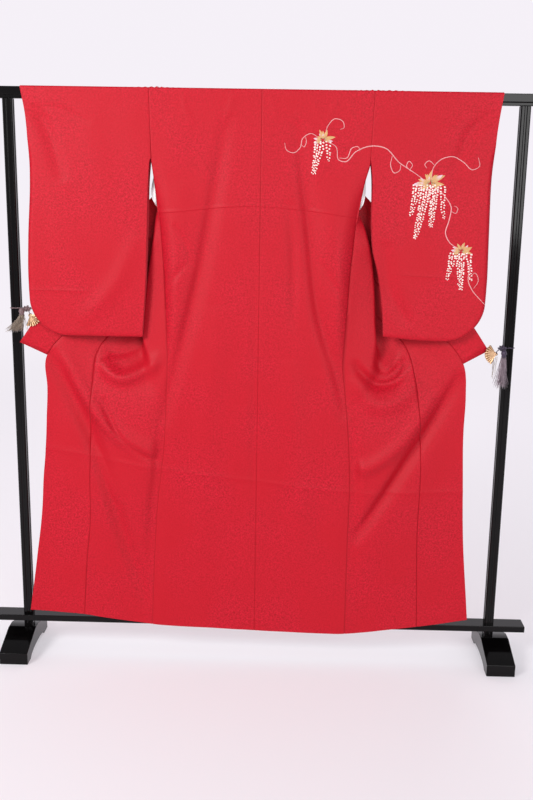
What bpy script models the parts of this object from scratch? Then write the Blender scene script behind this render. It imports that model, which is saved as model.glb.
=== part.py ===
# A lined kimono hung over the beam of a black lacquered kimono stand, its back to the front (-Y).
# The two fronts are opened outwards behind the back panels, and a fan-shaped clip, a cord and a
# tassel hold each collar end to its post. Metres, +Z up, the origin on the floor below the middle.
# The garment's own width direction is "out": the distance from the centre back seam.

import math

import bmesh
import bpy
import numpy as np
from mathutils import Vector

# Stand
BEAM_TOP = 1.678
BEAM_DEPTH = 0.030
BEAM_UPPER_HEIGHT = 0.023
BEAM_LOWER_HEIGHT = 0.0095
BEAM_LOWER_DEPTH = 0.022
BEAM_HALF_LENGTH = 0.795
BEAM_EDGE_RADIUS = 0.003
POST_WIDTH = 0.028
POST_HALF_SPACING = 0.711
POST_CHAMFER = 0.003
FLUTE_WIDTH = 0.008
FLUTE_DEPTH = 0.0015
BOARD_TOP = 0.115
BOARD_THICKNESS = 0.019
BOARD_DEPTH = 0.054
BOARD_HALF_LENGTH = 0.8175
FOOT_WIDTH = 0.085
FOOT_HALF_LENGTH = 0.127
FOOT_OUTSET = 0.020
FOOT_TOP = 0.0695
FOOT_TOP_HALF = 0.0195
FOOT_TOE_HEIGHT = 0.0365
FOOT_PAD = 0.042
FOOT_ARCH = 0.017
EDGE_BEVEL = 0.0012

# Cloth
WALL = 0.002
GAP = 0.0003
CENTRE_X = -0.009
BODY_LENGTH = 1.600
SLEEVE_LENGTH = 0.697
NECK_HALF_WIDTH = 0.090
ARMHOLE = 0.197
SIDE_OPENING_END = 0.330
SLEEVE_MOUTH = 0.235
SLEEVE_CORNER_RADIUS = 0.105
COLLAR_END = 0.775
OKUMI_POINT = 0.235
TURN_RADIUS = 0.007
RIDGE_Z = BEAM_TOP + GAP + WALL / 2
HALF_BEAM = BEAM_DEPTH / 2 + GAP + WALL / 2
RIDGE_FLAT = BEAM_DEPTH / 2 - BEAM_EDGE_RADIUS
RIDGE_RADIUS = HALF_BEAM - RIDGE_FLAT
RIDGE_REACH = RIDGE_FLAT + RIDGE_RADIUS * math.pi / 2

# Clips, cords and tassels
FAN_RADIUS = 0.029
FAN_SPREAD = math.radians(118)
FAN_PLEATS = 9
FAN_PLATE = 0.0016
FAN_RELIEF = 0.0010
CLIP_CLEARANCE = 0.0015
PIN_STANDS_OUT = 0.0004
CORD_DIAMETER = 0.003
TASSEL_STRANDS = 24
STRAND_RADIUS = 0.00075
HANGER_RADIUS = 0.0013
KNOT_RADIUS = 0.0095

LEFT = -1
RIGHT = 1
SIDE_NAMES = {LEFT: "left", RIGHT: "right"}

# Where the panels' side edges hang. drop is the distance down the pattern from the beam's top, and
# the other columns are distances out from the centre back seam. Above the foot of the armhole,
# where body and sleeve are sewn together, both edges follow one straight line.
ARMHOLE_LINE = {LEFT: (0.311, 0.305), RIGHT: (0.308, 0.302)}
EDGES = {
    LEFT: {
        "drop": (0.197, 0.30, 0.387, 0.50, 0.60, 0.70, 0.79, 0.88, 0.977, 1.083, 1.17, 1.36, 1.60),
        "side": (0.305, 0.291, 0.281, 0.272, 0.267, 0.264, 0.262, 0.266, 0.269, 0.278, 0.289, 0.302,
                0.312),
    },
    RIGHT: {
        "drop": (0.197, 0.26, 0.335, 0.40, 0.50, 0.60, 0.70, 0.77, 0.84, 0.90, 0.965, 1.10, 1.29, 1.60),
        "side": (0.302, 0.285, 0.271, 0.265, 0.256, 0.251, 0.246, 0.244, 0.252, 0.259, 0.265, 0.274,
                0.274, 0.275),
    },
}

# Flat widths of the front panel and the okumi at each drop.
FRONT_WIDTHS = {
    LEFT: {
        "drop": (0.0, 0.25, 0.60, 0.70, 0.79, 0.87, 0.97, 1.12, 1.25, 1.43, 1.60),
        "front": (0.221, 0.222, 0.221, 0.221, 0.222, 0.219, 0.224, 0.213, 0.200, 0.205, 0.210),
        "okumi": (0.0, 0.0, 0.102, 0.122, 0.140, 0.131, 0.128, 0.137, 0.146, 0.153, 0.166),
    },
    RIGHT: {
        "drop": (0.0, 0.25, 0.60, 0.70, 0.79, 0.87, 0.97, 1.30, 1.60),
        "front": (0.218, 0.220, 0.220, 0.219, 0.211, 0.210, 0.212, 0.209, 0.220),
        "okumi": (0.0, 0.0, 0.098, 0.125, 0.145, 0.138, 0.126, 0.136, 0.152),
    },
}

# How each front is folded back like a lapel. start and turn are headings in degrees (0 is outwards,
# 180 is inwards, behind the back panel), strip is how far the front runs outwards from the side seam
# before it turns, lean tips the inward run to the rear, run is its length, and collar_y is how far
# back the collar seam, and below it the free edge, hangs.
FOLD = {
    "drop": (0.0, 0.15, 0.20, 0.30, 0.34, 0.40, 0.46, 0.53, 0.60, 0.64, 0.70, 0.78, 0.86, 1.60),
    "start": (180, 180, 180, 180, 60, 14, 14, 13, 10, 8, 6, 6, 6, 4),
    "turn": (180, 180, 180, 180, 180, 180, 180, 180, 180, 165, 112, 40, 8, 4),
    "lean": (0, 2, 4, 10, 10, 9, 8, 7, 8, 8, 4, 0, 0, 0),
    "run_left": (0.195, 0.167, 0.156, 0.119, 0.112, 0.112, 0.104, 0.081, 0.052, 0.036, 0.020, 0.010,
            0.005, 0.005),
    "run_right": (0.192, 0.163, 0.150, 0.108, 0.102, 0.106, 0.104, 0.085, 0.056, 0.038, 0.020, 0.010,
            0.005, 0.005),
    "strip_left": (0.004, 0.004, 0.004, 0.004, 0.006, 0.014, 0.029, 0.044, 0.056, 0.060, 0.061, 0.036,
            0.008, 0.004),
    "strip_right": (0.004, 0.004, 0.004, 0.004, 0.012, 0.032, 0.053, 0.067, 0.074, 0.077, 0.082, 0.072,
            0.020, 0.004),
    "collar_y": (0.016, 0.024, 0.027, 0.030, 0.029, 0.027, 0.024, 0.016, 0.008, 0.002, -0.008, -0.018,
            -0.023, -0.036),
}

SHORTEST_STRIP = 0.004
FOLD_ARC = 0.022
# How far the front's free edge stands out past the back's in the opening under the sleeve.
EDGE_STANDS_OUT = {LEFT: 0.014, RIGHT: 0.012}

# How far back each layer hangs at each drop. side_roll is how far the back panel's side edge
# turns to the rear.
HANG = {
    "drop": (0.0, 0.035, 0.10, 0.20, 0.33, 0.50, 0.64, 0.70, 0.85, 1.10, 1.60),
    "back": (-0.0163, -0.0166, -0.019, -0.024, -0.031, -0.038, -0.0435, -0.0455, -0.049, -0.051, -0.048),
    "side_roll": (0.0, 0.0, 0.0, 0.002, 0.016, 0.018, 0.017, 0.015, 0.006, 0.003, 0.002),
    "sleeve_front": (-0.0163, -0.0166, -0.019, -0.024, -0.030, -0.037, -0.042, -0.044, -0.046, -0.048,
            -0.05),
    "sleeve_rear": (0.0163, 0.0164, 0.0164, 0.016, 0.010, -0.007, -0.026, -0.031, -0.033, -0.034, -0.035),
}

# The collar's free edge, for each drop of its seam.
COLLAR_FREE_EDGE = {
    "seam_drop": (0.02, 0.04, 0.07, 0.11, 0.15, 0.20, 0.26, 0.32, 0.38, 0.44, 0.50, 0.56, 0.62, 0.68,
            0.73, 0.775),
    "out": (0.0725, 0.078, 0.096, 0.129, 0.163, 0.200, 0.245, 0.295, 0.345, 0.390, 0.435, 0.480, 0.530,
            0.585, 0.640, 0.692),
    "back": (0.030, 0.041, 0.054, 0.060, 0.058, 0.054, 0.049, 0.043, 0.037, 0.031, 0.024, 0.013, 0.001,
            -0.011, -0.0178, -0.0195),
    "drop": (0.059, 0.074, 0.096, 0.125, 0.156, 0.190, 0.235, 0.285, 0.335, 0.385, 0.435, 0.485, 0.537,
            0.596, 0.661, 0.739),
}
RIGHT_COLLAR_SHORTER = 0.955

# The collar round the back of the neck: stations out along the neck and forward onto the shoulder, each
# with the distances over the beam, from the ridge, of its columns from seam to free edge, and with the
# free edge's own distance out.
NECK_STATIONS = (
    {"out": 0.0000, "free": 0.0000, "path": (0.0000, 0.0120, 0.0154, 0.0188, 0.0550)},
    {"out": 0.0300, "free": 0.0240, "path": (0.0000, 0.0120, 0.0154, 0.0188, 0.0550)},
    {"out": 0.0600, "free": 0.0480, "path": (0.0000, 0.0120, 0.0154, 0.0188, 0.0552)},
    {"out": 0.0820, "free": 0.0630, "path": (0.0000, 0.0120, 0.0154, 0.0188, 0.0558)},
    {"out": 0.0885, "free": 0.0663, "path": (0.0060, 0.0120, 0.0154, 0.0188, 0.0568)},
    {"out": 0.0890, "free": 0.0682, "path": (0.0120, 0.0137, 0.0165, 0.0200, 0.0582)},
    {"out": 0.0890, "free": 0.0696, "path": (0.0142, 0.0160, 0.0188, 0.0250, 0.0600)},
    {"out": 0.0890, "free": 0.0706, "path": (0.0165, 0.0188, 0.0230, 0.0340, 0.0621)},
    {"out": 0.0890, "free": 0.0714, "path": (0.0190, 0.0260, 0.0360, 0.0475, 0.0645)},
)

# The hem's height above the floor along X.
HEM = {
    "x": (-0.70, -0.53, -0.42, -0.315, -0.13, -0.009, 0.14, 0.288, 0.41, 0.53, 0.65),
    "z": (0.138, 0.129, 0.115, 0.105, 0.0975, 0.0935, 0.089, 0.089, 0.104, 0.120, 0.141),
}

# The sleeves' outer and inner edges and their bottom seam.
SLEEVE_EDGES = {
    LEFT: {
        "drop": (0.0, 0.08, 0.13, 0.26, 0.42, 0.52, 0.60, 0.70),
        "outer": (0.665, 0.652, 0.648, 0.647, 0.655, 0.657, 0.654, 0.648),
        "inner": (0.311, 0.308, 0.306, 0.314, 0.3185, 0.3215, 0.326, 0.333),
    },
    RIGHT: {
        "drop": (0.0, 0.10, 0.178, 0.24, 0.371, 0.45, 0.513, 0.57, 0.64, 0.70),
        "outer": (0.658, 0.646, 0.641, 0.639, 0.640, 0.641, 0.6415, 0.640, 0.636, 0.632),
        "inner": (0.308, 0.305, 0.302, 0.308, 0.312, 0.318, 0.334, 0.344, 0.352, 0.355),
    },
}
SLEEVE_BOTTOM = {
    LEFT: {"out": (0.33, 0.53, 0.66), "z": (0.9935, 0.9935, 0.9935)},
    RIGHT: {"out": (0.33, 0.46, 0.64), "z": (1.0095, 0.9985, 0.9985)},
}

# The largest folds: soft troughs (+) and ridges (-) of the cloth, pressed along a line of
# (x, drop) points. depth is how far the cloth moves to the rear and width its half width.
BACK_FOLDS = (
    {"depth": 0.009, "width": 0.020,
     "line": ((-0.105, 0.06), (-0.160, 0.40), (-0.196, 0.58), (-0.250, 0.80), (-0.290, 0.96))},
    {"depth": 0.009, "width": 0.020,
     "line": ((0.085, 0.08), (0.126, 0.36), (0.158, 0.60), (0.212, 0.78), (0.250, 0.92))},
    {"depth": 0.004, "width": 0.014, "line": ((0.070, 0.30), (0.085, 0.45), (0.090, 0.66))},
    {"depth": -0.004, "width": 0.030, "line": ((-0.230, 0.25), (-0.240, 0.45), (-0.262, 0.70))},
    {"depth": -0.004, "width": 0.028, "line": ((0.190, 0.25), (0.205, 0.45), (0.245, 0.70))},
)
WING_FOLDS = (
    {"depth": -0.010, "width": 0.020,
     "line": ((-0.275, 0.77), (-0.335, 0.825), (-0.400, 0.855), (-0.445, 0.835), (-0.462, 0.80))},
    {"depth": 0.010, "width": 0.017,
     "line": ((-0.615, 0.76), (-0.550, 0.90), (-0.480, 1.06), (-0.400, 1.33), (-0.320, 1.56))},
    {"depth": -0.009, "width": 0.022,
     "line": ((-0.600, 0.73), (-0.520, 0.88), (-0.420, 1.00), (-0.300, 1.05))},
    {"depth": -0.010, "width": 0.020, "line": ((0.262, 0.76), (0.320, 0.84), (0.400, 0.83), (0.440, 0.78))},
    {"depth": 0.011, "width": 0.018,
     "line": ((0.580, 0.80), (0.510, 0.93), (0.430, 1.06), (0.330, 1.22), (0.275, 1.30))},
    {"depth": -0.008, "width": 0.022, "line": ((0.500, 0.86), (0.420, 0.99), (0.330, 1.06), (0.270, 1.07))},
)
SLEEVE_FOLDS = (
    {"depth": 0.005, "width": 0.020, "line": ((-0.650, 0.03), (-0.600, 0.12), (-0.560, 0.26))},
    {"depth": -0.005, "width": 0.026, "line": ((-0.350, 0.40), (-0.420, 0.55), (-0.520, 0.66))},
    {"depth": 0.005, "width": 0.020, "line": ((0.630, 0.03), (0.560, 0.12), (0.520, 0.24))},
    {"depth": 0.005, "width": 0.022, "line": ((0.340, 0.42), (0.360, 0.56), (0.420, 0.66))},
)

# Grid lines
BODY_ROWS = (0.0043, 0.02, 0.04, 0.06, 0.08, 0.10, 0.125, 0.155, ARMHOLE, 0.24, 0.28, 0.32, 0.36, 0.40,
             0.44, 0.49, 0.54, 0.59, 0.64, 0.68, 0.73, COLLAR_END, 0.83, 0.91, 1.03, 1.20, 1.38, 1.52,
             BODY_LENGTH)
OKUMI_FIRST_ROW = 10
COLLAR_ROWS = BODY_ROWS[1:22]
OVER_COLLAR_ROWS = BODY_ROWS[1:15]
SLEEVE_ROWS = (0.0043, 0.02, 0.04, 0.09, 0.14, ARMHOLE, 0.235, 0.30, 0.37, 0.45, 0.52, 0.58, 0.63, 0.662,
               0.682, 0.6915, 0.6957, SLEEVE_LENGTH)
NECK_COLUMNS = 3
SHOULDER_COLUMNS = 9
OKUMI_COLUMNS = 4
COLLAR_COLUMNS = 4

# Materials: colour in linear RGB, roughness, metallic.
FINISHES = {
    "red_crepe": ((0.66, 0.017, 0.029), 0.60, 0.0),
    "black_lacquer": ((0.008, 0.008, 0.009), 0.14, 0.0),
    "gilt_metal": ((0.78, 0.52, 0.18), 0.30, 1.0),
    "mauve_silk": ((0.32, 0.22, 0.28), 0.65, 0.0),
    "beige_silk": ((0.42, 0.33, 0.26), 0.65, 0.0),
    "purple_cord": ((0.07, 0.04, 0.10), 0.70, 0.0),
}


def material(name):
    if name in bpy.data.materials:
        return bpy.data.materials[name]
    colour, roughness, metallic = FINISHES[name]
    finish = bpy.data.materials.new(name)
    finish.use_nodes = True
    shader = finish.node_tree.nodes["Principled BSDF"]
    shader.inputs["Base Color"].default_value = (*colour, 1.0)
    shader.inputs["Roughness"].default_value = roughness
    shader.inputs["Metallic"].default_value = metallic
    finish.diffuse_color = (*colour, 1.0)
    return finish


def add_object(name, mesh, finish, smooth=True):
    mesh.materials.append(material(finish))
    if smooth:
        mesh.shade_smooth()
        mesh.set_sharp_from_angle(angle=math.radians(40))
    node = bpy.data.objects.new(name, mesh)
    bpy.context.scene.collection.objects.link(node)
    return node


def mesh_from_bmesh(name, bm):
    mesh = bpy.data.meshes.new(name)
    bmesh.ops.recalc_face_normals(bm, faces=bm.faces)
    bm.to_mesh(mesh)
    bm.free()
    return mesh


def smoothstep(low, high, value):
    t = np.clip((np.asarray(value, float) - low) / (high - low), 0.0, 1.0)
    return t * t * (3.0 - 2.0 * t)


def smooth_curve(keys, values, at):
    """A cubic through the table's rows, level or sloped by its neighbours, clamped at both ends."""
    keys = np.asarray(keys, float)
    values = np.asarray(values, float)
    slopes = np.gradient(values, keys)
    at = np.clip(np.asarray(at, float), keys[0], keys[-1])
    i = np.clip(np.searchsorted(keys, at) - 1, 0, len(keys) - 2)
    span = keys[i + 1] - keys[i]
    t = (at - keys[i]) / span
    rise = (2 * t ** 3 - 3 * t ** 2 + 1) * values[i] + (3 * t ** 2 - 2 * t ** 3) * values[i + 1]
    bend = (t ** 3 - 2 * t ** 2 + t) * slopes[i] + (t ** 3 - t ** 2) * slopes[i + 1]
    return rise + bend * span


def column(table, name, at, key="drop"):
    return smooth_curve(table[key], table[name], at)


def over_beam(distance, slack=0.0):
    """The cloth's path over the beam: back and height at a distance from the ridge, + to the rear."""
    size = np.abs(distance)
    angle = np.clip((size - RIDGE_FLAT) / RIDGE_RADIUS, 0.0, math.pi / 2)
    back = np.minimum(size, RIDGE_FLAT) + (RIDGE_RADIUS + slack) * np.sin(angle)
    fall = RIDGE_RADIUS - (RIDGE_RADIUS + slack) * np.cos(angle) + np.maximum(size - RIDGE_REACH, 0.0)
    return np.sign(distance) * back, RIDGE_Z - fall


def fold_depth(folds, x, drop):
    """How far the folds move each point to the rear: a bell across each line that fades at its ends."""
    total = np.zeros(np.shape(x))
    for fold in folds:
        line = np.asarray(fold["line"])
        steps = np.linspace(0.0, 1.0, len(line))
        along = np.linspace(0.0, 1.0, 41)
        line_x = smooth_curve(steps, line[:, 0], along)
        line_drop = smooth_curve(steps, line[:, 1], along)
        distance = (x[..., None] - line_x) ** 2 + (drop[..., None] - line_drop) ** 2
        nearest = np.argmin(distance, axis=-1)
        fade = np.sqrt(np.clip(np.sin(math.pi * along[nearest]), 0.0, 1.0))
        total += fold["depth"] * fade * np.exp(-np.min(distance, axis=-1) / fold["width"] ** 2)
    return total


def hem_height(x, drop):
    """The height of a body row: rows are stretched so that the last one is the hem."""
    length = RIDGE_Z - smooth_curve(HEM["x"], HEM["z"], x)
    return RIDGE_Z - drop * length / BODY_LENGTH


def place(side, out, back, height):
    return np.stack([CENTRE_X + side * out, back, height], axis=-1)


def side_edge(side, drop):
    top, foot_of_armhole = ARMHOLE_LINE[side]
    sewn = top + (foot_of_armhole - top) * drop / ARMHOLE
    return np.where(drop <= ARMHOLE, sewn, column(EDGES[side], "side", drop))


def back_panel(side, rows):
    """One half of the back: rows of drop by columns from the centre seam to the side edge."""
    drop = np.asarray(rows, float)[:, None]
    edge = side_edge(side, drop) - GAP / 2
    neck = np.linspace(GAP / 2, NECK_HALF_WIDTH, NECK_COLUMNS + 1)[None, :-1]
    shoulder = NECK_HALF_WIDTH + (edge - NECK_HALF_WIDTH) * np.linspace(0.0, 1.0, SHOULDER_COLUMNS + 1)
    out = np.concatenate([np.repeat(neck, len(drop), axis=0), shoulder], axis=1)
    drop = np.repeat(drop, out.shape[1], axis=1)
    x = CENTRE_X + side * out
    free = smoothstep(0.03, 0.09, drop)
    roll = column(HANG, "side_roll", drop) * np.clip(1.0 - (edge - out) / 0.040, 0.0, 1.0) ** 2
    back = column(HANG, "back", drop) + roll + free * fold_depth(BACK_FOLDS, x, drop)
    return place(side, out, back, hem_height(x, drop))


def front_section(side, rows, piece):
    """The front panel, and the okumi after it, as a line that turns: at each drop its heading is
    given along its length, and its path is the sum of its steps."""
    drop = np.asarray(rows, float)[:, None]
    start = np.radians(column(FOLD, "start", drop))
    turn = np.radians(column(FOLD, "turn", drop) - column(FOLD, "lean", drop))
    run = column(FOLD, "run_" + SIDE_NAMES[side], drop)
    strip = np.maximum(column(FOLD, "strip_" + SIDE_NAMES[side], drop), SHORTEST_STRIP)
    front = column(FRONT_WIDTHS[side], "front", drop)
    okumi_width = okumi_flat_width(side, drop)
    whole = front + okumi_width
    turned = strip + FOLD_ARC + run
    opened = turned + TURN_RADIUS * 1.15 * math.pi
    if piece == "front":
        length = front_columns(drop, front, strip, turned, opened)
    elif piece == "okumi":
        length = front + GAP + (okumi_width - GAP) * np.linspace(0.0, 1.0, OKUMI_COLUMNS + 1)
    else:
        length = whole + np.asarray((-0.002, 0.0))
    fine = np.linspace(0.0, 1.0, 401) * whole
    heading = turning(fine, start, turn, strip, turned, opened)
    step = fine[:, 1:] - fine[:, :-1]
    middle = (heading[:, 1:] + heading[:, :-1]) / 2
    out = np.concatenate([np.zeros_like(drop), np.cumsum(np.cos(middle) * step, axis=1)], axis=1)
    back = np.concatenate([np.zeros_like(drop), np.cumsum(np.sin(middle) * step, axis=1)], axis=1)
    out = side_edge(side, drop) - GAP / 2 + 1.5 * GAP * smoothstep(0.24, SIDE_OPENING_END, drop) + out
    out = out + EDGE_STANDS_OUT[side] * smoothstep(0.22, 0.29, drop) * (1.0 - smoothstep(0.30, 0.34, drop))
    rolled = column(HANG, "back", drop) + column(HANG, "side_roll", drop)
    apart = smoothstep(SIDE_OPENING_END, ARMHOLE, drop)
    seam_back = rolled + 0.0033 * (1.0 - np.cos(start)) / 2
    back = back + apart * column(HANG, "sleeve_rear", drop) + (1.0 - apart) * seam_back
    share = np.clip((fine - opened) / np.maximum(whole - opened, 0.02), 0.0, 1.0)
    reach = column(FOLD, "collar_y", drop) - back[:, -1:]
    back = back + smoothstep(0.20, 0.33, drop) * smoothstep(0.0, 1.0, share) * reach
    picked = [np.stack([np.interp(l, f, o), np.interp(l, f, b)], axis=-1)
              for l, f, o, b in zip(length, fine, out, back)]
    picked = np.asarray(picked)
    out, back = picked[..., 0], picked[..., 1]
    drop = np.repeat(drop, out.shape[1], axis=1)
    x = CENTRE_X + side * out
    back = back + smoothstep(0.68, 0.80, drop) * fold_depth(WING_FOLDS, x, drop)
    return place(side, out, back, hem_height(x, drop))


def okumi_flat_width(side, drop):
    """The okumi widens from its tip to the collar's end, where its free edge begins."""
    wedge = column(FRONT_WIDTHS[side], "okumi", np.full_like(drop, COLLAR_END))
    tapered = wedge * np.clip((drop - OKUMI_POINT) / (COLLAR_END - OKUMI_POINT), 0.0, 1.0)
    return np.where(drop < COLLAR_END, tapered, column(FRONT_WIDTHS[side], "okumi", drop))


def turning(length, start, turn, strip, turned, opened):
    """Heading along the cloth: start, a turn inwards, a straight run, and a turn back outwards."""
    first = smoothstep(0.0, 1.0, (length - strip) / FOLD_ARC)
    second = smoothstep(0.0, 1.0, (length - turned) / (opened - turned))
    return start + (turn - start) * first - turn * second


def front_columns(drop, front, strip, turned, opened):
    """Column places: even at the top and the hem, and gathered at the turns between."""
    count = 2 * SHOULDER_COLUMNS
    even = front * np.linspace(0.0, 1.0, count + 1)
    run_end = np.minimum(turned, front - 0.026)
    turn_end = np.minimum(opened, front - 0.010)
    follow = [np.zeros_like(drop)]
    follow += [strip + FOLD_ARC * share for share in np.linspace(0.0, 1.0, 6)]
    arrived = strip + FOLD_ARC
    follow += [arrived + (run_end - arrived) * share for share in (1 / 3, 2 / 3, 1.0)]
    follow += [run_end + (turn_end - run_end) * share for share in (0.2, 0.4, 0.6, 0.8, 1.0)]
    follow += [turn_end + (front - turn_end) * share for share in (0.25, 0.5, 0.75, 1.0)]
    follow = np.concatenate(follow, axis=1)
    gathered = smoothstep(0.0, 0.12, drop) * (1.0 - smoothstep(0.80, 0.95, drop))
    return even + (follow - even) * gathered


def cloth_object(name, points, faces, finish="red_crepe"):
    """Gives a sheet its wall: half the thickness on each side of the given points."""
    mesh = bpy.data.meshes.new(name)
    mesh.from_pydata([tuple(p) for p in points], [], faces)
    bm = bmesh.new()
    bm.from_mesh(mesh)
    bmesh.ops.recalc_face_normals(bm, faces=bm.faces)
    bm.to_mesh(mesh)
    bm.free()
    node = add_object(name, mesh, finish)
    wall = node.modifiers.new("wall", "SOLIDIFY")
    wall.thickness = WALL
    wall.offset = 0.0
    wall.use_rim = True
    return node


def grid_faces(rows, columns, first=0):
    return [(first + r * columns + c, first + r * columns + c + 1,
             first + (r + 1) * columns + c + 1, first + (r + 1) * columns + c)
            for r in range(rows - 1) for c in range(columns - 1)]


def body_half(side):
    """One strip of cloth: the back from the hem up, over the beam, and the front down to the hem."""
    rear_of_front = over_beam(np.asarray((0.0, -RIDGE_FLAT, -(RIDGE_FLAT + RIDGE_REACH) / 2)))
    back = back_panel(side, BODY_ROWS)
    tops = np.repeat(back[:1], 3, axis=0)
    tops[:, :, 1] = rear_of_front[0][:, None]
    tops[:, :, 2] = rear_of_front[1][:, None]
    back = np.concatenate([tops, back])
    front = front_section(side, BODY_ROWS, "front")
    ends = over_beam(np.asarray((RIDGE_FLAT, (RIDGE_FLAT + RIDGE_REACH) / 2)))
    bends = np.repeat(front[:1], 2, axis=0)
    bends[:, :, 1] = ends[0][:, None]
    bends[:, :, 2] = ends[1][:, None]
    front = np.concatenate([bends, front])
    back_columns = back.shape[1]
    front_columns_count = front.shape[1]
    first_front = back.shape[0] * back_columns
    faces = grid_faces(back.shape[0], back_columns)
    faces += grid_faces(front.shape[0], front_columns_count, first_front)
    for shoulder in range(SHOULDER_COLUMNS):
        inner = back_columns - 1 - shoulder
        outer_front = first_front + 2 * shoulder
        faces.append((inner, outer_front, outer_front + 1))
        faces.append((inner, outer_front + 1, inner - 1))
        faces.append((inner - 1, outer_front + 1, outer_front + 2))
    points = np.concatenate([back.reshape(-1, 3), front.reshape(-1, 3)])
    return cloth_object("body_" + SIDE_NAMES[side], points, faces)


def okumi(side):
    points = front_section(side, BODY_ROWS[OKUMI_FIRST_ROW:], "okumi")
    faces = grid_faces(points.shape[0], points.shape[1])
    return cloth_object("okumi_" + SIDE_NAMES[side], points.reshape(-1, 3), faces)


def collar_half(side, drops, outside):
    """The collar from the centre back to its end: rows along it, columns from seam to free edge."""
    shares = np.linspace(0.0, 1.0, COLLAR_COLUMNS + 1)
    rows = []
    for station in NECK_STATIONS:
        path = np.asarray(station["path"])
        corner = (station["out"] / NECK_HALF_WIDTH) ** 4
        back, height = over_beam(path + GAP, 0.0010 * corner + outside)
        hanging = np.clip((path - RIDGE_REACH) / 0.040, 0.0, 1.0)
        back = back + 0.011 * corner * hanging ** 1.5
        inwards = (path - path[0]) / (path[-1] - path[0])
        rows.append(place(side, station["out"] + (station["free"] - station["out"]) * inwards, back,
                    height))
    ends = front_section(side, drops, "seam")
    seam = ends[:, 1]
    shorter = RIGHT_COLLAR_SHORTER if side == RIGHT else 1.0
    free_out = column(COLLAR_FREE_EDGE, "out", drops, "seam_drop")
    free_out = free_out * (1.0 + (shorter - 1.0) * smoothstep(0.3, 0.7, drops))
    free_back = column(COLLAR_FREE_EDGE, "back", drops, "seam_drop")
    free_drop = column(COLLAR_FREE_EDGE, "drop", drops, "seam_drop")
    free = place(side, free_out, free_back, hem_height(CENTRE_X + side * free_out, free_drop))
    arriving = unit(seam - ends[:, 0])
    leaving = unit(free - seam)
    bend = np.arccos(np.clip(np.sum(arriving * leaving, axis=1, keepdims=True), -1.0, 1.0))
    apart = GAP * 0.6 + WALL / 2 * np.tan(np.minimum(bend, 1.9) / 2)
    seam = seam + (arriving + leaving) * apart
    for seam_point, free_point in zip(seam, free):
        rows.append(seam_point + (free_point - seam_point) * shares[:, None])
    return np.asarray(rows)


def unit(vectors):
    return vectors / np.maximum(np.linalg.norm(vectors, axis=-1, keepdims=True), 1e-9)


def whole_collar(drops, outside=0.0):
    """Both halves in one strip. outside moves the part on and behind the beam off it by that much."""
    left = collar_half(LEFT, drops, outside)
    right = collar_half(RIGHT, drops, outside)
    return np.concatenate([left[::-1], right[1:]])


def collar():
    points = whole_collar(COLLAR_ROWS)
    faces = grid_faces(points.shape[0], points.shape[1])
    return cloth_object("collar", points.reshape(-1, 3), faces)


def over_collar():
    """A second strip on the collar's outer side, round the neck and part of the way down."""
    outside = WALL + 4 * GAP
    under = whole_collar(OVER_COLLAR_ROWS)
    normal = unit(np.cross(np.gradient(under, axis=0), np.gradient(under, axis=1)))
    points = whole_collar(OVER_COLLAR_ROWS, outside)
    hanging = len(OVER_COLLAR_ROWS)
    points[:hanging] += normal[:hanging] * outside
    points[-hanging:] += normal[-hanging:] * outside
    points[:, 0] += 0.35 * (points[:, 1] - points[:, 0])
    faces = grid_faces(points.shape[0], points.shape[1])
    return cloth_object("over_collar", points.reshape(-1, 3), faces)


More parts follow.
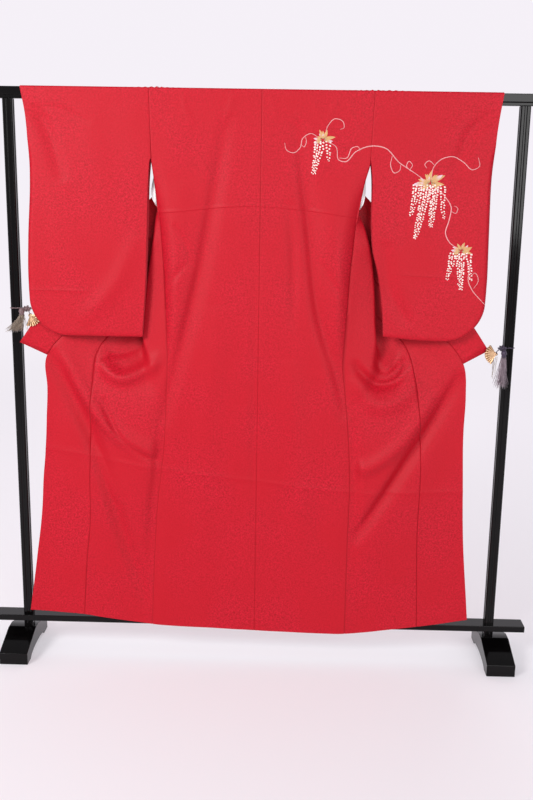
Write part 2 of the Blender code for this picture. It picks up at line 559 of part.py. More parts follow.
def sleeve(side):
    """A flat bag over the beam: two layers that share the points of their sewn edge."""
    rows = np.asarray(SLEEVE_ROWS)
    free_inner = column(SLEEVE_EDGES[side], "inner", rows)
    inner = np.where(rows <= ARMHOLE, side_edge(side, rows), free_inner) + GAP / 2
    outer = column(SLEEVE_EDGES[side], "outer", rows)
    into_corner = np.maximum(rows - (SLEEVE_LENGTH - SLEEVE_CORNER_RADIUS), 0.0)
    outer = outer - SLEEVE_CORNER_RADIUS + np.sqrt(SLEEVE_CORNER_RADIUS ** 2 - into_corner ** 2)
    rim = np.asarray((0.0140, 0.0090, 0.0045, 0.0012, 0.0))
    width = (outer - inner)[:, None]
    plain = inner[:, None] + (width - rim[0]) * np.linspace(0.0, 1.0, 7)[None, :-1]
    out = np.concatenate([plain, outer[:, None] - rim[None, :]], axis=1)
    drop = np.repeat(rows[:, None], out.shape[1], axis=1)
    from_side = outer[:, None] - out
    from_bottom = SLEEVE_LENGTH - drop
    closing = smoothstep(0.12, SLEEVE_MOUTH, drop)
    side_round = np.sqrt(1.0 - (1.0 - np.clip(from_side / rim[0], 0.0, 1.0)) ** 2)
    bottom_round = np.sqrt(1.0 - (1.0 - np.clip(from_bottom / rim[0], 0.0, 1.0)) ** 2)
    spread = (1.0 - closing * (1.0 - side_round)) * bottom_round
    front_y = column(HANG, "sleeve_front", drop)
    rear_y = column(HANG, "sleeve_rear", drop)
    middle = (front_y + rear_y) / 2
    half = (rear_y - front_y) / 2 * spread
    x = CENTRE_X + side * out
    folds = smoothstep(0.03, 0.09, drop) * fold_depth(SLEEVE_FOLDS, x, drop)
    bottom = smooth_curve(SLEEVE_BOTTOM[side]["out"], SLEEVE_BOTTOM[side]["z"], out)
    height = RIDGE_Z - drop * (RIDGE_Z - bottom) / SLEEVE_LENGTH
    front = place(side, out, middle - half + folds, height)
    rear = place(side, out, middle + half + folds, height)
    tops = over_beam(np.asarray((-(RIDGE_FLAT + RIDGE_REACH) / 2, -RIDGE_FLAT, 0.0, RIDGE_FLAT,
                                 (RIDGE_FLAT + RIDGE_REACH) / 2)))
    bends = np.repeat(front[:1], 5, axis=0)
    bends[:, :, 1] = tops[0][:, None]
    bends[:, :, 2] = tops[1][:, None]
    points = np.concatenate([front[::-1], bends, rear])
    total, columns = points.shape[0], points.shape[1]
    index = np.arange(total * columns).reshape(total, columns)
    index[-1] = index[0]
    last = len(rows) - 1
    for row, value in enumerate(rows):
        if value >= SLEEVE_MOUTH:
            index[total - 1 - (last - row), -1] = index[last - row, -1]
    faces = [(index[r, c], index[r, c + 1], index[r + 1, c + 1], index[r + 1, c])
             for r in range(total - 1) for c in range(columns - 1)]
    used = sorted({int(i) for face in faces for i in face})
    renumber = {old: new for new, old in enumerate(used)}
    faces = [tuple(dict.fromkeys(renumber[int(i)] for i in face)) for face in faces]
    return cloth_object("sleeve_" + SIDE_NAMES[side], points.reshape(-1, 3)[used], faces)


def prism(name, outline, axis, low, high, bevel=0.0, centre=(0.0, 0.0, 0.0), finish="black_lacquer"):
    """Extrudes an outline along X or Z, its middle at the given place."""
    bm = bmesh.new()
    ends = []
    for level in (low, high):
        if axis == "X":
            ends.append([bm.verts.new((level, a, b)) for a, b in outline])
        else:
            ends.append([bm.verts.new((a, b, level)) for a, b in outline])
    count = len(outline)
    bm.faces.new(ends[0])
    bm.faces.new(ends[1])
    for i in range(count):
        bm.faces.new((ends[0][i], ends[0][(i + 1) % count], ends[1][(i + 1) % count], ends[1][i]))
    if bevel:
        bmesh.ops.recalc_face_normals(bm, faces=bm.faces)
        sharp = [e for e in bm.edges if e.calc_face_angle(0.0) > math.radians(40)]
        bmesh.ops.bevel(bm, geom=sharp, offset=bevel, segments=1, affect="EDGES", clamp_overlap=True)
    node = add_object(name, mesh_from_bmesh(name, bm), finish, smooth=False)
    node.location = centre
    return node


def top_beam():
    half = BEAM_DEPTH / 2
    lower = BEAM_LOWER_DEPTH / 2
    step = BEAM_TOP - BEAM_UPPER_HEIGHT
    base = step - BEAM_LOWER_HEIGHT
    angles = np.linspace(0.0, math.pi / 2, 4)
    rear = [(half - BEAM_EDGE_RADIUS + BEAM_EDGE_RADIUS * math.cos(a),
             BEAM_TOP - BEAM_EDGE_RADIUS + BEAM_EDGE_RADIUS * math.sin(a)) for a in angles]
    outline = [(half, step + 0.0015)] + rear + [(-y, z) for y, z in reversed(rear)]
    outline += [(-half, step + 0.0015), (-half + 0.0015, step), (-lower, step), (-lower, base),
                (lower, base), (lower, step), (half - 0.0015, step)]
    return prism("top_beam", outline, "X", -BEAM_HALF_LENGTH, BEAM_HALF_LENGTH)


def post_outline():
    """A square with chamfered corners and a shallow flute down the middle of each side."""
    half = POST_WIDTH / 2
    flute = FLUTE_WIDTH / 2
    side = [(half, -half + POST_CHAMFER), (half, -flute), (half - FLUTE_DEPTH, -flute + FLUTE_DEPTH),
            (half - FLUTE_DEPTH, flute - FLUTE_DEPTH), (half, flute), (half, half - POST_CHAMFER)]
    outline = []
    for quarter in range(4):
        turn = quarter * math.pi / 2
        outline += [(x * math.cos(turn) - y * math.sin(turn), x * math.sin(turn) + y * math.cos(turn))
                    for x, y in side]
    return outline


def post(side):
    low = FOOT_TOP + GAP
    high = BEAM_TOP - BEAM_UPPER_HEIGHT - BEAM_LOWER_HEIGHT - GAP
    centre = (side * POST_HALF_SPACING, 0.0, 0.0)
    return prism("post_" + SIDE_NAMES[side], post_outline(), "Z", low, high, centre=centre)


def lower_board():
    """A flat board with a square hole for each post."""
    half = BOARD_DEPTH / 2
    outline = [(-half, BOARD_TOP - BOARD_THICKNESS), (half, BOARD_TOP - BOARD_THICKNESS),
               (half, BOARD_TOP), (-half, BOARD_TOP)]
    board = prism("lower_board", outline, "X", -BOARD_HALF_LENGTH, BOARD_HALF_LENGTH, EDGE_BEVEL)
    hole = POST_WIDTH / 2 + GAP
    square = [(-hole, -hole), (hole, -hole), (hole, hole), (-hole, hole)]
    for side in (LEFT, RIGHT):
        cutter = prism("hole_" + SIDE_NAMES[side], square, "Z", BOARD_TOP - 0.05, BOARD_TOP + 0.03,
                       centre=(side * POST_HALF_SPACING, 0.0, 0.0))
        cutter.hide_render = True
        cutter.display_type = "WIRE"
        cut = board.modifiers.new("post hole", "BOOLEAN")
        cut.operation = "DIFFERENCE"
        cut.object = cutter
    return board


def foot(side):
    """A sloping block on two pads, its underside arched between them."""
    arch = [(math.sin(a), math.cos(a)) for a in np.linspace(-math.pi / 2, math.pi / 2, 9)]
    inner = FOOT_HALF_LENGTH - FOOT_PAD
    outline = [(-FOOT_HALF_LENGTH, 0.0)] + [(inner * s, FOOT_ARCH * c) for s, c in arch]
    outline += [(FOOT_HALF_LENGTH, 0.0), (FOOT_HALF_LENGTH, FOOT_TOE_HEIGHT), (FOOT_TOP_HALF, FOOT_TOP),
                (-FOOT_TOP_HALF, FOOT_TOP), (-FOOT_HALF_LENGTH, FOOT_TOE_HEIGHT)]
    centre = (side * (POST_HALF_SPACING + FOOT_OUTSET), 0.0, 0.0)
    return prism("foot_" + SIDE_NAMES[side], outline, "X", -FOOT_WIDTH / 2, FOOT_WIDTH / 2, EDGE_BEVEL,
                 centre)


# Where each clip sits (x, z): its pivot, the way its fan opens (degrees from +X towards +Z), how far
# back the collar lies there, its cord's knot and its tassel's head. strands is the threads' length.
CLIPS = {
    LEFT: {"pivot": (-0.6680, 1.0465), "opens": -48, "layer": -0.0178, "knot": (-0.6755, 1.0660),
           "head": (-0.6965, 1.0545), "strands": 0.048, "silk": "beige_silk", "cord": "mauve_silk"},
    RIGHT: {"pivot": (0.6735, 0.9600), "opens": 186, "layer": -0.0195, "knot": (0.6900, 0.9770),
            "head": (0.6985, 0.9600), "strands": 0.096, "silk": "mauve_silk", "cord": "purple_cord"},
}


def join_solids(name, shapes, finish):
    """A union of closed shapes, kept as one solid."""
    base = add_object(name, shapes[0], finish)
    for number, shape in enumerate(shapes[1:]):
        part = add_object(name + "_shape_%d" % number, shape, finish)
        part.hide_render = True
        part.display_type = "WIRE"
        joined = base.modifiers.new("join %d" % number, "BOOLEAN")
        joined.operation = "UNION"
        joined.object = part
    return base


def sector_plate(name, pivot, opens, radius, spread, y_back, thickness, relief, pleats):
    """A fan blade set: a flat sector whose front rises and falls along its pleats."""
    bm = bmesh.new()
    count = 2 * pleats
    rows = []
    for ring in (0.10, 1.0):
        front, rear = [], []
        for k in range(count + 1):
            angle = opens - spread / 2 + spread * k / count
            crest = relief * (k % 2) * ring
            x = pivot[0] + ring * radius * math.cos(angle)
            z = pivot[1] + ring * radius * math.sin(angle)
            front.append(bm.verts.new((x, y_back - thickness - crest, z)))
            rear.append(bm.verts.new((x, y_back, z)))
        rows.append((front, rear))
    (front_in, rear_in), (front_out, rear_out) = rows
    for k in range(count):
        bm.faces.new((front_in[k], front_in[k + 1], front_out[k + 1], front_out[k]))
        bm.faces.new((rear_in[k], rear_in[k + 1], rear_out[k + 1], rear_out[k]))
        bm.faces.new((front_in[k], front_in[k + 1], rear_in[k + 1], rear_in[k]))
        bm.faces.new((front_out[k], front_out[k + 1], rear_out[k + 1], rear_out[k]))
    for k in (0, count):
        bm.faces.new((front_in[k], front_out[k], rear_out[k], rear_in[k]))
    return mesh_from_bmesh(name, bm)


def barrel(name, place_xz, radius, y_front, y_rear, sides=12):
    bm = bmesh.new()
    rings = []
    for y in (y_front, y_rear):
        rings.append([bm.verts.new((place_xz[0] + radius * math.cos(2 * math.pi * k / sides), y,
                                    place_xz[1] + radius * math.sin(2 * math.pi * k / sides)))
                      for k in range(sides)])
    bm.faces.new(rings[0])
    bm.faces.new(rings[1])
    for k in range(sides):
        bm.faces.new((rings[0][k], rings[0][(k + 1) % sides], rings[1][(k + 1) % sides], rings[1][k]))
    return mesh_from_bmesh(name, bm)


def clip_depth():
    """How far the clip's pin stands before the middle of the cloth that it grips."""
    return WALL / 2 + CLIP_CLEARANCE + FAN_PLATE + PIN_STANDS_OUT


def clip(side):
    """A fan plate before the collar's corner and a jaw behind it, joined at the pivot outside it."""
    row = CLIPS[side]
    opens = math.radians(row["opens"])
    front = row["layer"] - WALL / 2 - CLIP_CLEARANCE
    rear = row["layer"] + WALL / 2 + CLIP_CLEARANCE
    fan = sector_plate("fan", row["pivot"], opens, FAN_RADIUS, FAN_SPREAD, front, FAN_PLATE, FAN_RELIEF,
                       FAN_PLEATS)
    jaw = sector_plate("jaw", row["pivot"], opens, FAN_RADIUS * 0.95, FAN_SPREAD * 0.4, rear + 0.0014,
                       0.0014, 0.0, 3)
    pin = barrel("pin", row["pivot"], 0.0048, row["layer"] - clip_depth(), rear + 0.0018)
    return join_solids("clip_" + SIDE_NAMES[side], (fan, jaw, pin), "gilt_metal")


def tube(name, path, radius, closed=False, sides=6, facing=(0.0, 1.0, 0.0)):
    """A round cord along a path of points, its ends flat unless it closes on itself. facing, any
    direction but the path's own, sets how the sides are turned about it."""
    count = len(path)
    bm = bmesh.new()
    rings = []
    for i, point in enumerate(path):
        before = path[i - 1] if i or closed else path[0]
        after = path[(i + 1) % count] if i < count - 1 or closed else path[-1]
        along = (after - before).normalized()
        across = along.cross(Vector(facing)).normalized()
        upward = across.cross(along)
        rings.append([bm.verts.new(point + across * radius * math.cos(2 * math.pi * k / sides)
                                   + upward * radius * math.sin(2 * math.pi * k / sides))
                      for k in range(sides)])
    pairs = list(zip(rings, rings[1:]))
    if closed:
        pairs.append((rings[-1], rings[0]))
    else:
        bm.faces.new(rings[0])
        bm.faces.new(rings[-1])
    for first, second in pairs:
        for k in range(sides):
            bm.faces.new((first[k], first[(k + 1) % sides], second[(k + 1) % sides], second[k]))
    return mesh_from_bmesh(name, bm)


def tie(side):
    """A cord once round the post, its knot in front, and a leg from the knot to the clip's pivot."""
    row = CLIPS[side]
    knot_x, knot_z = row["knot"]
    reach = POST_WIDTH / 2 + GAP + CORD_DIAMETER / 2
    corner = 0.006
    loop = []
    for quarter in range(4):
        middle = math.radians(45 + 90 * quarter)
        for turn in (-30, 0, 30):
            a = middle + math.radians(turn)
            x = math.copysign(reach - corner, math.cos(middle)) + corner * math.cos(a)
            y = math.copysign(reach - corner, math.sin(middle)) + corner * math.sin(a)
            loop.append(Vector((side * POST_HALF_SPACING + x, y, knot_z - 0.1 * (y + reach))))
    ring = tube("ring", loop, CORD_DIAMETER / 2, closed=True, facing=(0.0, 0.0, 1.0))
    knot_y = -reach - 0.006
    stretched = (KNOT_RADIUS * 1.35, KNOT_RADIUS * 0.8, KNOT_RADIUS)
    knot = ball("knot", (knot_x, knot_y, knot_z), stretched)
    before_pin = row["layer"] - clip_depth() - 1.5 * GAP - CORD_DIAMETER / 2
    pin = Vector((row["pivot"][0], before_pin, row["pivot"][1]))
    start = Vector((side * (POST_HALF_SPACING - 0.012), -reach, knot_z))
    bridge = tube("bridge", [start, Vector((knot_x, knot_y, knot_z))], CORD_DIAMETER / 2,
                  facing=(0.0, 0.0, 1.0))
    leg = tube("leg", [Vector((knot_x, knot_y, knot_z)), pin + Vector((0.0, 0.0, 0.006)), pin],
               CORD_DIAMETER / 2)
    return join_solids("tie_" + SIDE_NAMES[side], (ring, knot, bridge, leg), row["cord"])


def ball(name, centre, radii, segments=12, rings=7):
    bm = bmesh.new()
    bmesh.ops.create_uvsphere(bm, u_segments=segments, v_segments=rings, radius=1.0)
    for vert in bm.verts:
        vert.co = Vector((centre[0] + vert.co.x * radii[0], centre[1] + vert.co.y * radii[1],
                          centre[2] + vert.co.z * radii[2]))
    return mesh_from_bmesh(name, bm)


def strand(name, root, tip, sway):
    """One thread of a tassel: a three-sided tube that bends on its way down."""
    bm = bmesh.new()
    rings = []
    levels = 3
    for k in range(levels):
        t = k / (levels - 1)
        bend = sway * math.sin(math.pi * t)
        centre = root.lerp(tip, t) + Vector((bend, 0.4 * bend, 0.0))
        radius = STRAND_RADIUS * (1.0 - 0.25 * t)
        rings.append([bm.verts.new(centre + Vector((radius * math.cos(a), radius * math.sin(a), 0.0)))
                      for a in (0.0, 2 * math.pi / 3, 4 * math.pi / 3)])
    bm.faces.new(rings[0])
    bm.faces.new(rings[-1])
    for low, high in zip(rings[:-1], rings[1:]):
        for k in range(3):
            bm.faces.new((low[k], low[(k + 1) % 3], high[(k + 1) % 3], high[k]))
    return bm


def tassel(side):
    """A wound head with its threads fused into it, hanging in front of the post."""
    row = CLIPS[side]
    x, z = row["head"]
    y = -(POST_WIDTH / 2 + CORD_DIAMETER + 3 * GAP + 0.0085)
    head = ball("head", (x, y, z), (0.0072, 0.0072, 0.0100), 12, 7)
    threads = bmesh.new()
    for k in range(TASSEL_STRANDS):
        radius = 0.0056 * math.sqrt((k + 0.5) / TASSEL_STRANDS)
        angle = k * math.radians(137.508)
        spot = Vector((radius * math.cos(angle), radius * math.sin(angle), 0.0))
        root = Vector((x, y, z - 0.004)) + spot
        drop = row["strands"] * (0.86 + 0.14 * math.sin(3.7 * k) ** 2)
        tip = Vector((x, y, z - 0.004 - drop)) + spot * 1.75
        one = strand("thread", root, tip, 0.0008 * math.sin(angle))
        piece = bpy.data.meshes.new("thread")
        bmesh.ops.recalc_face_normals(one, faces=one.faces)
        one.to_mesh(piece)
        one.free()
        threads.from_mesh(piece)
        bpy.data.meshes.remove(piece)
    skirt = bpy.data.meshes.new("threads")
    threads.to_mesh(skirt)
    threads.free()
    hook_y = -(POST_WIDTH / 2 + GAP + CORD_DIAMETER + 3 * GAP + HANGER_RADIUS)
    hook = Vector((x, hook_y, max(row["knot"][1], z + 0.008)))
    hanger = tube("hanger", [Vector((x, y, z)), hook], HANGER_RADIUS)
    shapes = (head, skirt, hanger) if side == LEFT else (head, skirt)
    return join_solids("tassel_" + SIDE_NAMES[side], shapes, row["silk"])


def main():
    for old in list(bpy.data.objects):
        bpy.data.objects.remove(old, do_unlink=True)
    top_beam()
    lower_board()
    for side in (LEFT, RIGHT):
        post(side)
        foot(side)
        body_half(side)
        okumi(side)
        sleeve(side)
        clip(side)
        tie(side)
        tassel(side)
    collar()
    over_collar()


main()
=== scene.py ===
# Looks for a lined silk kimono on its lacquered stand. Every piece is a numpy surface around the packed
# model: metres, +Z up, the garment's back to -Y. "out" is the distance from the centre back seam and
# "drop" the distance down the cloth from the beam's top.

import math

import bmesh
import bpy
import numpy as np
from mathutils import Matrix, Vector


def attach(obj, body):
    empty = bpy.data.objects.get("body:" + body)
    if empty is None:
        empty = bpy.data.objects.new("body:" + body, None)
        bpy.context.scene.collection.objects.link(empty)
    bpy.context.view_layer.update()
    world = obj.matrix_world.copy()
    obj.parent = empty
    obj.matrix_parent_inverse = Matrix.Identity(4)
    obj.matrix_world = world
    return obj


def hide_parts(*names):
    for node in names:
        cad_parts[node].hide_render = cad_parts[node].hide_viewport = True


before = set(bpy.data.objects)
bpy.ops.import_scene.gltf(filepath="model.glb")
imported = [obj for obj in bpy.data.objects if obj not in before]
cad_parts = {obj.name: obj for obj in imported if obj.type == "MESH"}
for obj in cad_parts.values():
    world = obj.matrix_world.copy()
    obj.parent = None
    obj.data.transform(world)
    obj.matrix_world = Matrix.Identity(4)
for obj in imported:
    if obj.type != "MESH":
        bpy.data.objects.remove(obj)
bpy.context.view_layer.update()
left, right = -1, 1
sideNames = {left: "Left", right: "Right"}
cadSides = {left: "left", right: "right"}


# Numbers and curves

def smoothStep(low, high, value):  # 0 up to low, 1 from high on, and an S between them
    t = np.clip((np.asarray(value, float) - low) / (high - low), 0.0, 1.0)
    return t * t * (3.0 - 2.0 * t)


def smoothCurve(keys, values, at):  # a cubic through the rows, sloped by each row's neighbours
    keys, values = np.asarray(keys, float), np.asarray(values, float)
    slopes = np.gradient(values, keys)
    at = np.clip(np.asarray(at, float), keys[0], keys[-1])
    i = np.clip(np.searchsorted(keys, at) - 1, 0, len(keys) - 2)
    span = keys[i + 1] - keys[i]
    t = (at - keys[i]) / span
    rise = (2 * t ** 3 - 3 * t ** 2 + 1) * values[i] + (3 * t ** 2 - 2 * t ** 3) * values[i + 1]
    bend = (t ** 3 - 2 * t ** 2 + t) * slopes[i] + (t ** 3 - t ** 2) * slopes[i + 1]
    return rise + bend * span


def column(table, name, at, key="drop"):  # one column of a table, as a smooth curve
    return smoothCurve(table[key], table[name], at)


def unit(vectors):  # the same directions, each 1 long
    return vectors / np.maximum(np.linalg.norm(vectors, axis=-1, keepdims=True), 1e-9)


def bell(value, width):  # 1 at 0, falling off to both sides
    return np.exp(-(np.asarray(value, float) / width) ** 2)


def ringAngles(count):  # even turns all round
    return np.linspace(0.0, 2 * math.pi, count, endpoint=False)


# Materials

def hexColour(text):  # sRGB to linear: a straight line when dark, else a power of 2.4
    values = [int(text[i:i + 2], 16) / 255 for i in (1, 3, 5)]
    return [v / 12.92 if v <= 0.04045 else ((v + 0.055) / 1.055) ** 2.4 for v in values] + [1.0]


def setInputs(tree, node, inputs):  # each takes a value, a hex colour or another node's output
    for socket, value in inputs.items():
        if isinstance(value, bpy.types.NodeSocket):
            tree.links.new(value, node.inputs[socket])
        else:
            node.inputs[socket].default_value = hexColour(value) if isinstance(value, str) else value


def addNode(tree, kind, inputs=None, settings=None, output=0):  # gives back the output that is used
    node = tree.nodes.new(kind)
    for name, value in (settings or {}).items():
        setattr(node, name, value)
    setInputs(tree, node, inputs or {})
    return node.outputs[output]


def newMaterial(name, surface):
    made = bpy.data.materials.new(name)
    made.use_nodes = True
    setInputs(made.node_tree, made.node_tree.nodes["Principled BSDF"], surface)
    return made, made.node_tree


def finishMaterial(made, colour, height, strength, distance, others):  # its colour and its relief
    tree = made.node_tree
    relief = addNode(tree, "ShaderNodeBump", {"Strength": strength, "Distance": distance, "Height": height})
    setInputs(tree, tree.nodes["Principled BSDF"], {"Base Color": colour, "Normal": relief, **others})
    return made


colourMix = {"data_type": "RGBA"}  # its factor is socket 0, its colours are 6 and 7, and it gives output 2

# Crinkled silk crepe (chirimen): hard-twisted weft pulls the cloth into a pebbled grain, so it is matt
# with a faint bloom. The real crinkle is about 1.5 mm; it is drawn at 5 mm too, so that it shows. Its
# colour is painted light: painted shade, the deep red, in the crinkle's hollows and a painted highlight,
# the light red, on its crests, in step with its bump.
crepeSet = {
    # painted light: light and deep are the crinkle's painted highlight and shade, seam the painted shade of
    # seams and creases
    "base": "#B5061C", "light": "#CB102C", "deep": "#9A0414", "seam": "#A30618", "bloom": "#FFC9CF",
    "crinkle": 0.0050, "thread": 0.0015, "patch": 0.20, "height": 0.00070, "fine": 0.35,
    "roughness": 0.54, "sheen": 0.04, "sheenRoughness": 0.4, "specular": 0.24,
}


def silkCrepe(name, s):
    made, tree = newMaterial(name, {
        "Roughness": s["roughness"], "Sheen Weight": s["sheen"], "Sheen Roughness": s["sheenRoughness"],
        "Sheen Tint": s["bloom"], "Specular IOR Level": s["specular"]})
    cloth = addNode(tree, "ShaderNodeUVMap", settings={"uv_map": "cloth"})
    crinkle = addNode(tree, "ShaderNodeTexNoise", {
        "Vector": cloth, "Scale": 1 / s["crinkle"], "Detail": 2.0, "Roughness": 0.6, "Distortion": 0.6})
    thread = addNode(tree, "ShaderNodeTexNoise", {"Vector": cloth, "Scale": 1 / s["thread"], "Detail": 1.0})
    patch = addNode(tree, "ShaderNodeTexNoise", {"Vector": cloth, "Scale": 1 / s["patch"], "Detail": 2.0})
    shade = addNode(tree, "ShaderNodeMapRange", {"Value": crinkle, "From Min": 0.34, "From Max": 0.66})
    # painted crinkle light: from the deep red in the hollows to the light red on the crests
    paintedCrinkleShade = addNode(tree, "ShaderNodeMix", {0: shade, 6: s["deep"], 7: s["light"]}, colourMix, 2)
    strong = addNode(tree, "ShaderNodeMapRange", {"Value": patch, "From Min": 0.35, "From Max": 0.65,
                                                  "To Min": 0.12, "To Max": 0.85})
    calm = addNode(tree, "ShaderNodeMix", {0: strong, 6: s["base"], 7: paintedCrinkleShade}, colourMix, 2)
    # painted shade along seams, the waist tuck and pressed creases: a darker red where the seam attribute is
    # high
    seam = addNode(tree, "ShaderNodeAttribute", None, {"attribute_name": "seam"}, "Fac")
    colour = addNode(tree, "ShaderNodeMix", {0: seam, 6: calm, 7: s["seam"]}, colourMix, 2)
    height = addNode(tree, "ShaderNodeMix", {0: s["fine"], 2: crinkle, 3: thread}, {"data_type": "FLOAT"})
    return finishMaterial(made, colour, height, 1.0, s["height"], {})


# Plain-woven silk lining: smooth and a little lustrous, white above and the outer cloth's red below.
liningSet = {"white": "#EFE9EA", "red": "#C4162A", "rib": 0.0012, "height": 0.00006, "roughness": 0.45}


def silkLining(name, s):
    made, tree = newMaterial(name, {
        "Roughness": s["roughness"], "Sheen Weight": 0.15, "Sheen Roughness": 0.35,
        "Specular IOR Level": 0.4})
    cloth = addNode(tree, "ShaderNodeUVMap", settings={"uv_map": "cloth"})
    rib = addNode(tree, "ShaderNodeTexNoise", {"Vector": cloth, "Scale": 1 / s["rib"], "Detail": 1.0})
    lower = addNode(tree, "ShaderNodeAttribute", None, {"attribute_name": "redLining"}, "Fac")
    edge = addNode(tree, "ShaderNodeMapRange", {"Value": lower, "From Min": 0.46, "From Max": 0.54})
    colour = addNode(tree, "ShaderNodeMix", {0: edge, 6: s["white"], 7: s["red"]}, colourMix, 2)
    return finishMaterial(made, colour, rib, 1.0, s["height"], {})


# Black urushi lacquer over wood: a deep, wet gloss whose last rubbing leaves a faint unevenness.
lacquerSet = {"black": "#040304", "worn": "#0A0808", "wave": 0.05, "height": 0.00006, "roughness": 0.09,
              "specular": 0.20}


def blackLacquer(name, s):
    made, tree = newMaterial(name, {"Specular IOR Level": s["specular"]})
    spot = addNode(tree, "ShaderNodeTexCoord", output="Object")
    wave = addNode(tree, "ShaderNodeTexNoise", {"Vector": spot, "Scale": 1 / s["wave"], "Detail": 3.0})
    rough = addNode(tree, "ShaderNodeMapRange", {
        "Value": wave, "To Min": s["roughness"] * 0.7, "To Max": s["roughness"] * 1.6})
    colour = addNode(tree, "ShaderNodeMix", {0: wave, 6: s["black"], 7: s["worn"]}, colourMix, 2)
    return finishMaterial(made, colour, wave, 0.4, s["height"], {"Roughness": rough})


# Gilt brass: stamped sheet, polished on its ribs and a little browner where a cloth can't reach.
giltSet = {"bright": "#E4BE98", "brown": "#7E5228", "scratch": 0.0012, "height": 0.00003, "roughness": 0.30}


def giltBrass(name, s):
    made, tree = newMaterial(name, {"Metallic": 1.0})
    spot = addNode(tree, "ShaderNodeTexCoord", output="Object")
    scratch = addNode(tree, "ShaderNodeTexNoise", {"Vector": spot, "Scale": 1 / s["scratch"], "Detail": 2.0})
    hollow = addNode(tree, "ShaderNodeAttribute", None, {"attribute_name": "hollow"}, "Fac")
    rough = addNode(tree, "ShaderNodeMapRange", {
        "Value": scratch, "To Min": s["roughness"] * 0.8, "To Max": s["roughness"] * 1.4})
    colour = addNode(tree, "ShaderNodeMix", {0: hollow, 6: s["bright"], 7: s["brown"]}, colourMix, 2)
    return finishMaterial(made, colour, scratch, 0.5, s["height"], {"Roughness": rough})


# Reeled silk thread and cord: fine parallel filaments with a soft shine along them.
silkColours = {  # name, light and dark
    "beige": ("beigeSilk", "#A89683", "#6B5A4E"), "mauve": ("mauveSilk", "#A8969F", "#6E5E68"),
    "purple": ("purpleCord", "#463650", "#211829"), "cordMauve": ("mauveCord", "#84686A", "#4C393C"),
}


def silkThread(name, light, dark):
    made, tree = newMaterial(name, {"Roughness": 0.5, "Sheen Weight": 0.3, "Sheen Roughness": 0.4})
    spot = addNode(tree, "ShaderNodeTexCoord", output="Object")
    drawn = addNode(tree, "ShaderNodeMapping", {"Vector": spot, "Scale": (900, 900, 60)})
    strand = addNode(tree, "ShaderNodeTexNoise", {"Vector": drawn, "Scale": 1.0, "Detail": 1.0})
    spread = addNode(tree, "ShaderNodeMapRange", {"Value": strand, "From Min": 0.35, "From Max": 0.65})
    colour = addNode(tree, "ShaderNodeMix", {0: spread, 6: dark, 7: light}, colourMix, 2)
    return finishMaterial(made, colour, strand, 0.6, 0.0002, {})


# Floss-silk embroidery: flat satin stitches, lustrous along the thread, each motif in its own colour.
def flossSilk(name):
    made, tree = newMaterial(name, {
        "Roughness": 0.42, "Sheen Weight": 0.2, "Sheen Roughness": 0.3, "Specular IOR Level": 0.45})
    spot = addNode(tree, "ShaderNodeTexCoord", output="Object")
    drawn = addNode(tree, "ShaderNodeMapping", {"Vector": spot, "Scale": (1600, 200, 500)})
    stitch = addNode(tree, "ShaderNodeTexNoise", {"Vector": drawn, "Scale": 1.0, "Detail": 1.0})
    tint = addNode(tree, "ShaderNodeAttribute", None, {"attribute_name": "tint"}, "Color")
    darker = addNode(tree, "ShaderNodeHueSaturation", {"Value": 0.86, "Color": tint})
    colour = addNode(tree, "ShaderNodeMix", {0: stitch, 6: darker, 7: tint}, colourMix, 2)
    return finishMaterial(made, colour, stitch, 0.5, 0.00015, {})


crepe = silkCrepe("silkCrepe", crepeSet)
lining = silkLining("silkLining", liningSet)
lacquer = blackLacquer("blackLacquer", lacquerSet)
gilt = giltBrass("giltBrass", giltSet)
silks = {key: silkThread(*row) for key, row in silkColours.items()}
floss = flossSilk("flossSilk")
print("materials made")


# Meshes

def gridFaces(rows, columns, first=0, closed=False):  # the quads between neighbouring points
    r = np.arange(rows - 1)[:, None]
    c = np.arange(columns if closed else columns - 1)[None, :]
    after = (c + 1) % columns
    quads = np.stack([r * columns + c, r * columns + after, (r + 1) * columns + after,
                      (r + 1) * columns + c], axis=-1)
    return quads.reshape(-1, 4) + first


def newPiece(name, points, faces, finishes):  # an object at the origin, shaded smooth
    mesh = bpy.data.meshes.new(name)
    mesh.from_pydata(np.asarray(points, float).reshape(-1, 3).tolist(), [], faces)
    for finish in finishes:
        mesh.materials.append(finish)
    mesh.shade_smooth()
    piece = bpy.data.objects.new(name, mesh)
    bpy.context.scene.collection.objects.link(piece)
    return piece


def fitPiece(piece, nodes):  # attached to the root body; the nodes that it stands for are hidden
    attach(piece, "root")
    for node in nodes:
        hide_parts(node)


def weld(mesh, distance, recalculate=False):  # points that lie together become one
    bm = bmesh.new()
    bm.from_mesh(mesh)
    bmesh.ops.remove_doubles(bm, verts=bm.verts, dist=distance)
    if recalculate:
        bmesh.ops.recalc_face_normals(bm, faces=bm.faces)
    bm.to_mesh(mesh)
    bm.free()


def facing(points, row):  # the mean Y of the normals along one row of a grid: minus looks at the viewer
    down = points[row + 1, :-1] - points[row, :-1]
    across = points[row, 1:] - points[row, :-1]
    return float(np.mean(unit(np.cross(across, down))[:, 1]))


